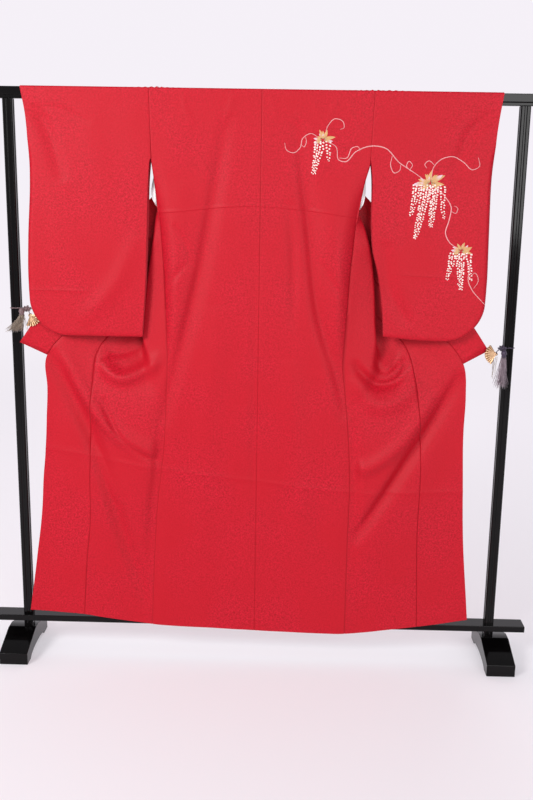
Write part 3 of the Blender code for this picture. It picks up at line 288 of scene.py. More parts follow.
def clothPiece(name, node, sheets):  # welds grids of (points, flat, seam, red, a row to look at)
    faces, first = [], 0
    for points, flat, seam, red, look in sheets:
        quads = gridFaces(*points.shape[:2], first)
        faces.append(quads[:, ::-1] if facing(points, look) > 0 else quads)
        first += points[..., 0].size
    points, flat, seam, red = (np.concatenate([sheet[k].reshape(-1, size) for sheet in sheets])
                               for k, size in enumerate((3, 2, 1, 1)))
    piece = newPiece(name, points, np.concatenate(faces).tolist(), [crepe, lining])
    fitPiece(piece, [node])
    mesh = piece.data
    # seam holds the painted shade along seams and creases
    for title, values in (("seam", seam), ("redLining", red)):
        attribute = mesh.attributes.new(title, "FLOAT", "POINT")
        attribute.data.foreach_set("value", values.astype(np.float32).ravel())
    corners = np.zeros(len(mesh.loops), np.int32)
    mesh.loops.foreach_get("vertex_index", corners)
    mesh.uv_layers.new(name="cloth").data.foreach_set("uv", flat[corners].astype(np.float32).ravel())
    weld(mesh, 2e-5)
    solid = piece.modifiers.new("wall", "SOLIDIFY")
    solid.thickness = clothSet["wall"]
    solid.offset = 0.0
    solid.material_offset = 1
    return piece


# The camera: 45 mm on a 36 mm high frame, a little above the beam and turned down 13 degrees.
cameraSet = {"spot": (0.06876, -2.86146, 1.47951), "yaw": -0.01843, "pitch": -0.23132, "roll": 0.01618,
             "lens": 45.0, "frame": 36.0}


def makeCamera(s):  # yaw turns it about Z, pitch tips it and roll leans it
    c, d = math.cos(s["yaw"]), math.sin(s["yaw"])
    level, fall = math.cos(s["pitch"]), math.sin(s["pitch"])
    forward, across = Vector((d * level, c * level, fall)), Vector((c, -d, 0.0))
    upward = across.cross(forward)
    c, d = math.cos(s["roll"]), math.sin(s["roll"])
    data = bpy.data.cameras.new("camera")
    data.lens = s["lens"]
    data.sensor_fit = "VERTICAL"
    data.sensor_height = s["frame"]
    camera = bpy.data.objects.new("camera", data)
    camera.matrix_world = Matrix.Translation(s["spot"]) @ Matrix(
        (across * c + upward * d, upward * c - across * d, -forward)).transposed().to_4x4()
    bpy.context.scene.collection.objects.link(camera)
    bpy.context.scene.camera = camera


makeCamera(cameraSet)

# The cloth: how it crosses the beam, and how long and wide its parts are.
beamSet = {"top": 1.678, "depth": 0.030, "edge": 0.003, "clear": 0.0013}
clothSet = {
    "wall": 0.0018, "centre": -0.009, "length": 1.600, "neck": 0.090, "armhole": 0.197,
    "sideOpening": 0.330, "collarEnd": 0.775, "okumiPoint": 0.235, "turnRadius": 0.007, "foldArc": 0.022,
    "shortestStrip": 0.004, "groove": 0.0013, "seamShadeWidth": 0.0014, "redFrom": 0.93, "overTop": 0.038,
    "bodyWidth": 0.32, "okumiWidth": 0.165,  # as cut
}
# How far along the cloth map each piece starts, so that no two show the same grain side by side.
mapStart = {"front": 0.5, "okumi": np.array((0.7, 0.0)), "sleeve": np.array((2.0, 0.0)),
            "collar": np.array((5.0, 0.0))}
ridgeZ = beamSet["top"] + beamSet["clear"]
ridgeFlat = beamSet["depth"] / 2 - beamSet["edge"]
ridgeRadius = beamSet["depth"] / 2 + beamSet["clear"] - ridgeFlat
ridgeReach = ridgeFlat + ridgeRadius * math.pi / 2
ridgePath = np.concatenate([[0.0], ridgeFlat + (ridgeReach - ridgeFlat) * np.linspace(0.0, 1.0, 7)[:-1]])
seamSteps = np.array((0.0, 0.0008, 0.0018, 0.0032))  # columns close to a seam, for the roll of its edge


def overBeam(distance, slack=0.0):  # flat over the ridge, a quarter turn round each edge, then straight down
    size = np.abs(distance)
    angle = np.clip((size - ridgeFlat) / ridgeRadius, 0.0, math.pi / 2)
    back = np.minimum(size, ridgeFlat) + (ridgeRadius + slack) * np.sin(angle)
    fall = ridgeRadius - (ridgeRadius + slack) * np.cos(angle) + np.maximum(size - ridgeReach, 0.0)
    return np.sign(distance) * back, ridgeZ - fall


def foldDepth(folds, x, drop):  # the sum of soft bells across lines that fade out at both ends
    total = np.zeros(np.shape(x))
    along = np.linspace(0.0, 1.0, 181)
    for depth, width, steep, line in folds:
        share = np.linspace(0.0, 1.0, len(line))
        lineX, lineDrop = (smoothCurve(share, ends, along) for ends in np.array(line).T)
        near = (np.abs(x - lineX.mean()) < np.ptp(lineX) / 2 + 4 * width) & (
            np.abs(drop - lineDrop.mean()) < np.ptp(lineDrop) / 2 + 4 * width)
        px, pd = x[near], drop[near]
        distance = (px[:, None] - lineX) ** 2 + (pd[:, None] - lineDrop) ** 2
        nearest, gone = np.argmin(distance, axis=-1), np.sqrt(np.min(distance, axis=-1))
        ahead = np.clip(nearest, 1, len(along) - 2)
        turnX, turnDrop = (way[ahead + 1] - way[ahead - 1] for way in (lineX, lineDrop))
        side = np.sign((px - lineX[nearest]) * turnDrop - (pd - lineDrop[nearest]) * turnX)
        fade = np.sqrt(np.clip(np.sin(math.pi * along[nearest]), 0.0, 1.0))
        total[near] += depth * fade * bell(gone, width * np.where(side > 0, 1.0, steep))
    return total


hemLine = {
    "x": (-0.70, -0.53, -0.42, -0.315, -0.13, -0.009, 0.14, 0.288, 0.41, 0.53, 0.65),
    "z": (0.138, 0.129, 0.115, 0.105, 0.0975, 0.0935, 0.089, 0.089, 0.104, 0.120, 0.141),
}
hang = {  # how far back each layer hangs
    "drop": (0.0, 0.035, 0.10, 0.20, 0.33, 0.50, 0.64, 0.70, 0.85, 1.10, 1.60),
    "back": (-0.0163, -0.0166, -0.019, -0.024, -0.031, -0.038, -0.0435, -0.0455, -0.049, -0.051, -0.048),
    "sideRoll": (0.0, 0.0, 0.0, 0.002, 0.016, 0.018, 0.017, 0.015, 0.006, 0.003, 0.002),
    "sleeveFront": (-0.0163, -0.0166, -0.019, -0.024, -0.030, -0.037, -0.042, -0.044, -0.046, -0.048, -0.05),
    "sleeveRear": (0.0163, 0.0164, 0.0164, 0.016, 0.010, -0.007, -0.026, -0.031, -0.033, -0.034, -0.035),
}


def hemHeight(x):  # how high the hem hangs, as a smooth curve along it
    return smoothCurve(hemLine["x"], hemLine["z"], x)


def clothHeight(x, drop):  # rows are stretched so that the last one is the hem
    return ridgeZ - drop * (ridgeZ - hemHeight(x)) / clothSet["length"]


def dropAt(x, height):  # the other way round, from a height to its drop
    return (ridgeZ - height) * clothSet["length"] / (ridgeZ - hemHeight(x))


def place(side, out, back, height):  # points from how far out, how far back and how high
    return np.stack([clothSet["centre"] + side * out, back, height], axis=-1)


def wander(x, drop, seed, size):  # slow unevenness of hanging cloth: a few long waves, mostly upright
    random = np.random.default_rng(seed)
    total = np.zeros(np.shape(x))
    for step in range(7):
        across, down, phase = random.uniform(14, 60), random.uniform(2, 14), random.uniform(0, 6.28)
        total += np.sin(across * x + down * drop * random.choice((-1, 1)) + phase) / (1.0 + 0.3 * step)
    return size * total / 3.0


# The body: back and front in one strip over the shoulder. The tables give, for each drop, where the side
# edge hangs and how the front is folded back like a lapel, with headings in degrees (0 outwards). A
# strip of it runs outwards from the side seam before it turns in behind the back.
bodyCut = {
    left: {
        "armholeLine": (0.311, 0.305),
        "drop": (0.197, 0.30, 0.387, 0.50, 0.60, 0.70, 0.79, 0.88, 0.977, 1.083, 1.17, 1.36, 1.60),
        "side": (0.305, 0.291, 0.281, 0.272, 0.267, 0.264, 0.262, 0.266, 0.269, 0.278, 0.289, 0.302,
                 0.312),
        "at": (0.0, 0.25, 0.60, 0.70, 0.79, 0.87, 0.97, 1.12, 1.25, 1.43, 1.60),
        "front": (0.221, 0.222, 0.221, 0.221, 0.222, 0.219, 0.224, 0.213, 0.200, 0.205, 0.210),
        "okumi": (0.0, 0.0, 0.102, 0.122, 0.140, 0.131, 0.128, 0.137, 0.146, 0.153, 0.166),
        "strip": (0.004, 0.004, 0.004, 0.004, 0.006, 0.014, 0.029, 0.044, 0.056, 0.060, 0.061, 0.036,
                  0.008, 0.004),
        "standsOut": 0.014,
        "run": (0.195, 0.167, 0.156, 0.119, 0.112, 0.112, 0.104, 0.081, 0.052, 0.036, 0.020, 0.010, 0.005,
                0.005),
    },
    right: {
        "armholeLine": (0.308, 0.302),
        "drop": (0.197, 0.26, 0.335, 0.40, 0.50, 0.60, 0.70, 0.77, 0.84, 0.90, 0.965, 1.10, 1.29, 1.60),
        "side": (0.302, 0.285, 0.271, 0.265, 0.256, 0.251, 0.246, 0.244, 0.252, 0.259, 0.265, 0.274,
                 0.274, 0.275),
        "at": (0.0, 0.25, 0.60, 0.70, 0.79, 0.87, 0.97, 1.30, 1.60),
        "front": (0.218, 0.220, 0.220, 0.219, 0.211, 0.210, 0.212, 0.209, 0.220),
        "okumi": (0.0, 0.0, 0.098, 0.125, 0.145, 0.138, 0.126, 0.136, 0.152),
        "strip": (0.004, 0.004, 0.004, 0.004, 0.012, 0.032, 0.053, 0.067, 0.074, 0.077, 0.082, 0.072,
                  0.020, 0.004),
        "standsOut": 0.012,
        "run": (0.192, 0.163, 0.150, 0.108, 0.102, 0.106, 0.104, 0.085, 0.056, 0.038, 0.020, 0.010, 0.005,
                0.005),
    },
}
lapelFold = {
    "drop": (0.0, 0.15, 0.20, 0.30, 0.34, 0.40, 0.46, 0.53, 0.60, 0.64, 0.70, 0.78, 0.86, 1.60),
    "start": (180, 180, 180, 180, 60, 14, 14, 13, 10, 8, 6, 6, 6, 4),
    "turn": (180, 180, 180, 180, 180, 180, 180, 180, 180, 165, 112, 40, 8, 4),
    "lean": (0, 2, 4, 10, 10, 9, 8, 7, 8, 8, 4, 0, 0, 0),
    "collarBack": (0.016, 0.024, 0.027, 0.030, 0.029, 0.027, 0.024, 0.016, 0.008, 0.002, -0.008, -0.018,
                   -0.023, -0.036),
}
# The folds: (depth, half width, how steep the far flank is, line of (x, drop)), + a trough and - a ridge.
backFolds = (
    (0.012, 0.027, 0.6, ((-0.105, 0.06), (-0.160, 0.40), (-0.196, 0.58), (-0.250, 0.80), (-0.290, 0.96))),
    (0.012, 0.027, 0.6, ((0.085, 0.08), (0.126, 0.36), (0.158, 0.60), (0.212, 0.78), (0.250, 0.92))),
    (0.006, 0.014, 1.0, ((0.070, 0.30), (0.085, 0.45), (0.090, 0.66))),
    (-0.004, 0.030, 1.0, ((-0.230, 0.25), (-0.240, 0.45), (-0.262, 0.70))),
    (-0.004, 0.028, 1.0, ((0.190, 0.25), (0.205, 0.45), (0.245, 0.70))),
    (0.0034, 0.009, 1.0, ((-0.250, 0.37), (-0.222, 0.42), (-0.196, 0.50))),
    (0.0034, 0.008, 1.0, ((-0.276, 0.56), (-0.240, 0.51), (-0.205, 0.47))),
    (0.0032, 0.009, 1.0, ((0.161, 0.46), (0.200, 0.53), (0.240, 0.58))),
    (0.0030, 0.012, 1.0, ((-0.020, 0.45), (-0.018, 0.90), (-0.014, 1.40))),
    (-0.0050, 0.034, 1.0, ((-0.120, 0.60), (-0.150, 0.95), (-0.180, 1.40))),
    (-0.0050, 0.034, 1.0, ((0.080, 0.75), (0.110, 1.05), (0.140, 1.45))),
)
topFolds = (
    (-0.0015, 0.007, 1.0, ((0.196, 0.004), (0.186, 0.045), (0.160, 0.105))),
    (-0.0014, 0.007, 1.0, ((0.228, 0.004), (0.232, 0.050), (0.250, 0.110))),
    (-0.0012, 0.006, 1.0, ((0.262, 0.004), (0.262, 0.040), (0.270, 0.085))),
    (-0.0013, 0.008, 1.0, ((0.120, 0.004), (0.142, 0.055), (0.180, 0.120))),
    (-0.0011, 0.007, 1.0, ((0.012, 0.004), (0.020, 0.040), (0.036, 0.085))),
    (-0.0012, 0.009, 1.0, ((-0.085, 0.004), (-0.100, 0.060), (-0.130, 0.130))),
    (-0.0010, 0.007, 1.0, ((-0.225, 0.004), (-0.220, 0.050), (-0.200, 0.100))),
)
wingFolds = (
    (-0.011, 0.019, 1.0, ((-0.275, 0.745), (-0.335, 0.795), (-0.400, 0.825), (-0.445, 0.808),
     (-0.462, 0.775))),
    (0.006, 0.010, 1.0, ((-0.336, 0.690), (-0.350, 0.725), (-0.388, 0.752), (-0.430, 0.760),
     (-0.450, 0.742))),
    (0.006, 0.009, 1.0, ((-0.463, 0.89), (-0.440, 0.95), (-0.400, 1.01), (-0.335, 1.055), (-0.275, 1.075))),
    (0.006, 0.007, 1.0, ((0.326, 0.70), (0.331, 0.755), (0.347, 0.787), (0.369, 0.790), (0.386, 0.770),
     (0.397, 0.725))),
    (0.011, 0.030, 0.75, ((-0.615, 0.76), (-0.550, 0.90), (-0.480, 1.06), (-0.400, 1.33), (-0.320, 1.56))),
    (-0.010, 0.028, 0.7, ((-0.600, 0.73), (-0.520, 0.88), (-0.420, 1.00), (-0.300, 1.05))),
    (-0.006, 0.028, 1.0, ((0.270, 0.790), (0.290, 0.830), (0.335, 0.875), (0.403, 0.865), (0.457, 0.810))),
    (0.008, 0.011, 1.0, ((0.268, 0.745), (0.286, 0.780), (0.335, 0.824), (0.394, 0.816), (0.430, 0.770))),
    (-0.004, 0.009, 1.0, ((0.275, 0.735), (0.295, 0.765), (0.335, 0.790), (0.385, 0.788), (0.415, 0.755))),
    (0.012, 0.026, 0.65, ((0.580, 0.80), (0.510, 0.93), (0.430, 1.06), (0.330, 1.22), (0.275, 1.30))),
    (-0.008, 0.022, 1.0, ((0.500, 0.86), (0.420, 0.99), (0.330, 1.06), (0.270, 1.07))),
    (-0.003, 0.012, 1.0, ((-0.488, 1.05), (-0.450, 1.14), (-0.417, 1.22))),
)
sleeveFolds = (
    (0.007, 0.020, 1.0, ((-0.650, 0.03), (-0.600, 0.12), (-0.560, 0.26))),
    (-0.005, 0.026, 1.0, ((-0.350, 0.40), (-0.420, 0.55), (-0.520, 0.66))),
    (0.007, 0.020, 1.0, ((0.630, 0.03), (0.560, 0.12), (0.520, 0.24))),
    (0.007, 0.022, 1.0, ((0.340, 0.42), (0.360, 0.56), (0.420, 0.66))),
    (0.0025, 0.010, 1.0, ((-0.640, 0.05), (-0.560, 0.06), (-0.480, 0.10))),
    (0.0025, 0.010, 1.0, ((0.620, 0.05), (0.540, 0.06), (0.460, 0.10))),
)
# The stitched waist tuck across the back and the creases left by folding the garment away.
creaseSet = {
    "tuckX": (-0.300, -0.274, -0.021, 0.132, 0.249, 0.290),
    "tuckZ": (1.342, 1.344, 1.365, 1.354, 1.339, 1.333),
    "tuckDrop": 0.320, "tuckStep": 0.0011, "foldDrop": 1.118, "foldSlant": 0.087, "foldRise": 0.0021,
    "foldWidth": 0.008, "tuckShade": 0.45,
}
gatherSet = {"every": 0.017, "height": 0.0042, "at": ((0.315, 0.055), (-0.305, 0.040))}
bodyGrid = {"neckColumns": 24, "shoulderColumns": 64, "okumiColumns": 26, "rowStep": 0.0075}
wingSet = {"from": 0.68, "to": 0.80, "folds": 1.8, "fromSeam": 0.035}


def bodyRows():  # drops, closer together at the waist tuck, the storage crease and the hem
    step, end = bodyGrid["rowStep"], clothSet["length"]
    tuck, fold = creaseSet["tuckDrop"], creaseSet["foldDrop"]
    parts = (np.arange(0.0043, 0.095, 0.006), np.arange(0.097, tuck - 0.014, step),
             tuck + np.arange(-0.014, 0.0101, 0.0008), np.arange(tuck + 0.016, fold - 0.056, step),
             np.arange(fold - 0.053, fold + 0.0501, 0.0035), np.arange(fold + 0.056, end - 0.006, step),
             end - np.array((0.004, 0.0015, 0.0)))
    return np.unique(np.round(np.concatenate(parts), 6))


def sideEdge(side, drop):  # a straight line down the armhole, then the side seam's curve
    top, foot = bodyCut[side]["armholeLine"]
    sewn = top + (foot - top) * drop / clothSet["armhole"]
    return np.where(drop <= clothSet["armhole"], sewn, column(bodyCut[side], "side", drop))


def groove(distance):  # near a sewn edge the cloth rolls in by about its own thickness
    return clothSet["groove"] * bell(distance, clothSet["groove"])


def seamShade(distance):  # painted shade along a seam: 1 on its line, falling off to both sides
    return bell(distance, clothSet["seamShadeWidth"])


def tuckDrop(x):  # the drop of the waist tuck's line, which was read off as a height
    return dropAt(x, smoothCurve(creaseSet["tuckX"], creaseSet["tuckZ"], x))


def storageCrease(x, drop):  # a ridge left by folding the garment away, a little lower on the right
    line = creaseSet["foldDrop"] + creaseSet["foldSlant"] * x
    return creaseSet["foldRise"] * np.exp(-np.abs(drop - line) / creaseSet["foldWidth"])


def hungFolds(x, drop):  # the named folds of the back and its slow waves
    return foldDepth(backFolds, x, drop) + wander(x, drop, 5, 0.0009)


def backDepth(side, out, drop):  # the back's hang, rolled side edge, folds and seams, less its creases
    x = clothSet["centre"] + side * out
    edge = sideEdge(side, drop)
    roll = column(hang, "sideRoll", drop) * np.clip(1.0 - (edge - out) / 0.040, 0.0, 1.0) ** 2
    below = drop - tuckDrop(x)
    edgeOn = 1 - smoothStep(-0.0008, 0.0008, below)
    ledge = creaseSet["tuckStep"] * smoothStep(-0.012, -0.0008, below) * edgeOn
    top = smoothStep(0.004, 0.02, drop) * foldDepth(topFolds, x, drop)
    return (column(hang, "back", drop) + roll + smoothStep(0.03, 0.09, drop) * hungFolds(x, drop) + top
            + groove(out) + groove(edge - out) - ledge - storageCrease(x, drop))


def backSheet(side, rows):  # the back half: columns from the centre seam to the side edge
    drop = rows[:, None]
    edge = sideEdge(side, drop)
    first = np.linspace(0.0055, clothSet["neck"], bodyGrid["neckColumns"] - 3)
    neck = np.concatenate([seamSteps, first])[:-1]
    shares = np.linspace(0.0, 1.0, bodyGrid["shoulderColumns"] - 2)
    shoulder = clothSet["neck"] + (edge - seamSteps[3] - clothSet["neck"]) * shares
    out = np.concatenate([np.repeat(neck[None], len(rows), 0), shoulder, edge - seamSteps[2:0:-1], edge], 1)
    drop = np.repeat(drop, out.shape[1], axis=1)
    x = clothSet["centre"] + side * out
    drop = drop + (tuckDrop(x) - creaseSet["tuckDrop"]) * bell(drop - creaseSet["tuckDrop"], 0.05)
    # painted shade under the waist tuck's edge and beside the seams
    tuck = creaseSet["tuckShade"] * bell(drop - tuckDrop(x) - 0.0008, 0.0012)
    seam = np.maximum(np.maximum(seamShade(out), seamShade(edge - out)), tuck)
    return place(side, out, backDepth(side, out, drop), clothHeight(x, drop)), np.stack([out, drop], -1), seam


def okumiWidth(side, drop):  # a wedge from its point down to the collar's end, then its own width
    wedge, below = (column(bodyCut[side], "okumi", at, "at")
                    for at in (np.full_like(drop, clothSet["collarEnd"]), drop))
    share = (drop - clothSet["okumiPoint"]) / (clothSet["collarEnd"] - clothSet["okumiPoint"])
    return np.where(drop < clothSet["collarEnd"], wedge * np.clip(share, 0.0, 1.0), below)


def seamNear(count, length, near):  # column places from 0 to length, crowded at both sewn edges
    inner = near[-1] + (length - 2 * near[-1]) * np.linspace(0.0, 1.0, count - 2 * (len(near) - 1) + 1)
    return np.concatenate([np.repeat(near[None, :-1], len(length), 0), inner, length - near[-2::-1]], axis=1)


def frontColumns(drop, front, strip, turned, opened):  # even above and below, gathered at the turns between
    share = np.linspace(0.0, 1.0, bodyGrid["shoulderColumns"] + 1)
    even = front * share
    stops = np.concatenate([
        np.zeros_like(drop), strip, strip + clothSet["foldArc"], np.minimum(turned, front - 0.026),
        np.minimum(opened, front - 0.010), front], axis=1)
    follow = np.stack([np.interp(share, (0.0, 0.14, 0.30, 0.44, 0.74, 1.0), row) for row in stops])
    gathered = smoothStep(0.0, 0.12, drop) * (1.0 - smoothStep(0.80, 0.95, drop))
    return even + (follow - even) * gathered


def frontSection(side, rows, piece):  # the front, then the okumi: a line that turns, as the sum of its steps
    drop = np.asarray(rows, float)[:, None]
    cut = bodyCut[side]
    start = np.radians(column(lapelFold, "start", drop))
    turn = np.radians(column(lapelFold, "turn", drop) - column(lapelFold, "lean", drop))
    run, strip = (smoothCurve(lapelFold["drop"], cut[key], drop) for key in ("run", "strip"))
    front, wide = column(cut, "front", drop, "at"), okumiWidth(side, drop)
    whole = front + wide
    strip = np.maximum(strip, clothSet["shortestStrip"])
    turned = strip + clothSet["foldArc"] + run
    opened = turned + clothSet["turnRadius"] * 1.15 * math.pi
    if piece == "front":
        length = frontColumns(drop, front, strip, turned, opened)
        toSeam = np.minimum(length + 0.02 * (drop < clothSet["armhole"]), front - length)
    elif piece == "okumi":
        even = wide * np.linspace(0.0, 1.0, bodyGrid["okumiColumns"] + 1)
        length = front + np.where(wide > 0.02, seamNear(bodyGrid["okumiColumns"], wide, seamSteps), even)
        toSeam = length - front
        toSeam = np.where(drop < clothSet["collarEnd"], np.minimum(toSeam, whole - length), toSeam)
    else:
        length = whole + np.asarray((-0.002, 0.0))
        toSeam = np.full_like(length, 1.0)
    fine = np.linspace(0.0, 1.0, 501) * whole
    first = smoothStep(0.0, 1.0, (fine - strip) / clothSet["foldArc"])
    second = smoothStep(0.0, 1.0, (fine - turned) / (opened - turned))
    heading = start + (turn - start) * first - turn * second  # a strip, a turn in, a run, a turn out
    step, middle = np.diff(fine, axis=1), (heading[:, 1:] + heading[:, :-1]) / 2
    out, back = (np.concatenate([np.zeros_like(drop), np.cumsum(way(middle) * step, axis=1)], axis=1)
                 for way in (np.cos, np.sin))
    out = out + sideEdge(side, drop)
    out = out + cut["standsOut"] * smoothStep(0.22, 0.29, drop) * (1.0 - smoothStep(0.30, 0.34, drop))
    rolled = column(hang, "back", drop) + column(hang, "sideRoll", drop)
    apart = smoothStep(clothSet["sideOpening"], clothSet["armhole"], drop)
    seamBack = rolled + 0.0033 * (1.0 - np.cos(start)) / 2
    back = back + apart * column(hang, "sleeveRear", drop) + (1.0 - apart) * seamBack
    share = np.clip((fine - opened) / np.maximum(whole - opened, 0.02), 0.0, 1.0)
    reach = column(lapelFold, "collarBack", drop) - back[:, -1:]
    back = back + smoothStep(0.20, 0.33, drop) * smoothStep(0.0, 1.0, share) * reach
    out, back = (np.stack([np.interp(*row) for row in zip(length, fine, way)]) for way in (out, back))
    drop = np.repeat(drop, out.shape[1], axis=1)
    x = clothSet["centre"] + side * out
    wing = smoothStep(wingSet["from"], wingSet["to"], drop)
    away = smoothStep(0.0, wingSet["fromSeam"], length)  # beside the seam the front follows the back's folds
    sewn = smoothStep(clothSet["armhole"], clothSet["armhole"] + 0.06, drop) * (1.0 - away)
    pulled = wingSet["folds"] * foldDepth(wingFolds, x, drop) + wander(x, drop, 9, 0.0008)
    back = back + sewn * hungFolds(x, drop) + wing * away * pulled
    back = back + groove(toSeam) * smoothStep(0.3, 0.5, drop) - storageCrease(x, drop) * wing
    flat = np.stack([mapStart["front"] + length, drop], -1)
    # the last part is the painted shade along the seams
    return place(side, out, back, clothHeight(x, drop)), flat, seamShade(toSeam)


def gathers(x, path):  # small ripples where the cloth is pushed together on the beam
    where = sum(bell(x - at, wide) for at, wide in gatherSet["at"])
    ripple = np.maximum(np.sin(2 * math.pi * x / gatherSet["every"] + 2.0 * np.sin(23 * x)), 0.0) ** 2
    return gatherSet["height"] * where * ripple * bell(path, ridgeReach)


def overTop(edge, path):  # rows across the beam, each a copy of the edge's row
    bent = np.repeat(edge[None], len(path), axis=0)
    y, z = overBeam(path)
    bent[:, :, 1], bent[:, :, 2] = y[:, None], z[:, None] + gathers(bent[:, :, 0], path[:, None])
    return bent


def redBelow(drop, level):  # the lining's step from white, 0, to red, 1
    return smoothStep(-0.01, 0.01, drop - level)


def makeBody(side):  # two sheets down from the beam, each with its own rows over the ridge
    rows = bodyRows()
    back, front = backSheet(side, rows), frontSection(side, rows, "front")
    shared = overTop(back[0][0, ::-1][:bodyGrid["shoulderColumns"] + 1], ridgePath)
    over = smoothStep(0.0, 1.0, ridgePath / ridgeReach)[:, None]
    shared[:, :, 0] += (front[0][:1, :, 0] - shared[:, :, 0]) * over
    sheets = []
    for top, (points, flat, seam) in ((overTop(back[0][0], -ridgePath), back), (shared, front)):
        above = np.repeat(flat[:1], len(ridgePath), axis=0)
        above[:, :, 1] = ridgePath[:, None] - ridgeReach
        flat = np.concatenate([above, flat])
        seam = np.concatenate([np.repeat(seam[:1], len(ridgePath), 0), seam])
        red = redBelow(flat[:, :, 1], clothSet["redFrom"])
        sheets.append((np.concatenate([top, points]), flat, seam, red, len(flat) - 3))
    piece = clothPiece("body" + sideNames[side], "body_" + cadSides[side], sheets)


def makeOkumi(side):  # the strip beyond the front's edge, from its point down to the hem
    rows = bodyRows()
    rows = rows[rows > clothSet["okumiPoint"] + 0.004]
    points, flat, seam = frontSection(side, rows, "okumi")
    piece = clothPiece("okumi" + sideNames[side], "okumi_" + cadSides[side], [
        (points, flat + mapStart["okumi"], seam, redBelow(flat[:, :, 1], clothSet["redFrom"] - 0.12),
         len(points) - 3)])


# The sleeves: each a strip folded over the beam and sewn down its outer side and along its bottom.
sleeveCut = {
    left: {
        "drop": (0.0, 0.08, 0.13, 0.26, 0.42, 0.52, 0.60, 0.70),
        "outer": (0.665, 0.652, 0.648, 0.647, 0.655, 0.657, 0.654, 0.648),
        "inner": (0.311, 0.308, 0.306, 0.314, 0.3185, 0.3215, 0.326, 0.333),
        "bottomOut": (0.33, 0.53, 0.66), "bottomZ": (0.9935, 0.9935, 0.9935),
        "crease": 0.566, "creaseOut": 0.49,
    },
    right: {
        "drop": (0.0, 0.10, 0.178, 0.24, 0.371, 0.45, 0.513, 0.57, 0.64, 0.70),
        "outer": (0.658, 0.646, 0.641, 0.639, 0.640, 0.641, 0.6415, 0.640, 0.636, 0.632),
        "inner": (0.308, 0.305, 0.302, 0.308, 0.312, 0.318, 0.334, 0.344, 0.352, 0.355),
        "bottomOut": (0.33, 0.46, 0.64), "bottomZ": (1.0095, 0.9985, 0.9985),
        "crease": 0.512, "creaseOut": 0.39,
    },
}
sleeveSet = {"length": 0.697, "mouth": 0.235, "corner": 0.105, "rim": 0.014, "columns": 56, "hem": 0.022}


def sleeveLayers(drop):  # the middle between the two layers, and half the space between them
    front, rear = column(hang, "sleeveFront", drop), column(hang, "sleeveRear", drop)
    return (front + rear) / 2, (rear - front) / 2


def creaseReach(side, out):  # how much of the sleeve's crease is there
    start = sleeveCut[side]["creaseOut"]
    return smoothStep(start - 0.03, start + 0.03, out)


def sleeveDepth(side, out, drop, away):  # the middle of the two layers, and away from it
    x, length = clothSet["centre"] + side * out, sleeveSet["length"]
    loose = smoothStep(length, length - 0.05, drop)
    moved = foldDepth(sleeveFolds, x, drop) + wander(x, drop, 21, 0.0008) * loose
    pressed = 0.0010 * np.exp(-np.abs(drop - sleeveCut[side]["crease"]) / 0.006) * creaseReach(side, out)
    sewn = smoothStep(0.205, 0.19, drop) * groove(out - sideEdge(side, drop))
    return sleeveLayers(drop)[0] + away + smoothStep(0.03, 0.09, drop) * moved - pressed + sewn


def sleeveHeight(side, out, drop):  # rows are stretched so that the last one is the bottom's curve
    bottom = smoothCurve(sleeveCut[side]["bottomOut"], sleeveCut[side]["bottomZ"], out)
    return ridgeZ - drop * (ridgeZ - bottom) / sleeveSet["length"]


def quarterRound(distance):  # rises as a quarter circle from a rim
    return np.sqrt(1.0 - (1.0 - np.clip(distance / sleeveSet["rim"], 0.0, 1.0)) ** 2)


def makeSleeve(side):  # a flat bag: the front layer up, over the beam, and the rear layer down
    cut, length, rim, bow = sleeveCut[side], sleeveSet["length"], sleeveSet["rim"], sleeveSet["corner"]
    corner = length - bow
    quarter = np.linspace(0.0, math.pi / 2, 30)
    rows = np.unique(np.round(np.concatenate([
        np.arange(0.0043, 0.09, 0.006), np.arange(0.093, corner, 0.0075),
        cut["crease"] + np.arange(-0.006, 0.0061, 0.0012), corner + bow * np.sin(quarter)]), 6))
    inner = np.where(rows <= clothSet["armhole"], sideEdge(side, rows), column(cut, "inner", rows))[:, None]
    into = np.maximum(rows - corner, 0.0)
    outer = (column(cut, "outer", rows) - bow + np.sqrt(np.maximum(bow ** 2 - into ** 2, 0.0)))[:, None]
    plain = (outer - inner - rim - seamSteps[3]) * np.linspace(0.0, 1.0, sleeveSet["columns"] + 1)
    roundOff = rim * (1.0 - np.sin(np.linspace(0.0, math.pi / 2, 9)[1:]))
    out = np.concatenate([inner + seamSteps[:-1], inner + seamSteps[3] + plain, outer - roundOff], axis=1)
    drop = np.repeat(rows[:, None], out.shape[1], axis=1)
    closing = smoothStep(0.12, sleeveSet["mouth"], drop)
    spread = (1.0 - closing * (1.0 - quarterRound(outer - out))) * quarterRound(length - drop)
    half, height = sleeveLayers(drop)[1] * spread, sleeveHeight(side, out, drop)
    front, rear = (place(side, out, sleeveDepth(side, out, drop, away), height) for away in (-half, half))
    path = np.concatenate([-ridgePath[::-1], ridgePath[1:]])
    points = np.concatenate([front[::-1], overTop(front[0], path), rear])
    flat = np.stack(np.broadcast_arrays(
        np.concatenate([out[::-1], np.repeat(out[:1], len(path), 0), out]),
        np.concatenate([-rows[::-1], path, rows])[:, None]), -1)
    # painted shade along the sewn armhole and the sleeve's pressed crease
    sewn = smoothStep(0.205, 0.19, drop) * seamShade(out - inner)
    paintedSleeveShade = sewn + 0.5 * creaseReach(side, out) * bell(drop - cut["crease"], 0.0012)
    edge = np.minimum(out - inner, outer - out)
    red = 1.0 - smoothStep(sleeveSet["hem"] - 0.004, sleeveSet["hem"] + 0.004, edge)
    seam, red = (np.concatenate([ahead[::-1], np.repeat(ahead[:1], len(path), 0), behind])
                 for ahead, behind in ((paintedSleeveShade, sewn), (red, red)))
    piece = clothPiece("sleeve" + sideNames[side], "sleeve_" + cadSides[side], [
        (points, flat + mapStart["sleeve"], seam, red, len(rows) // 2)])


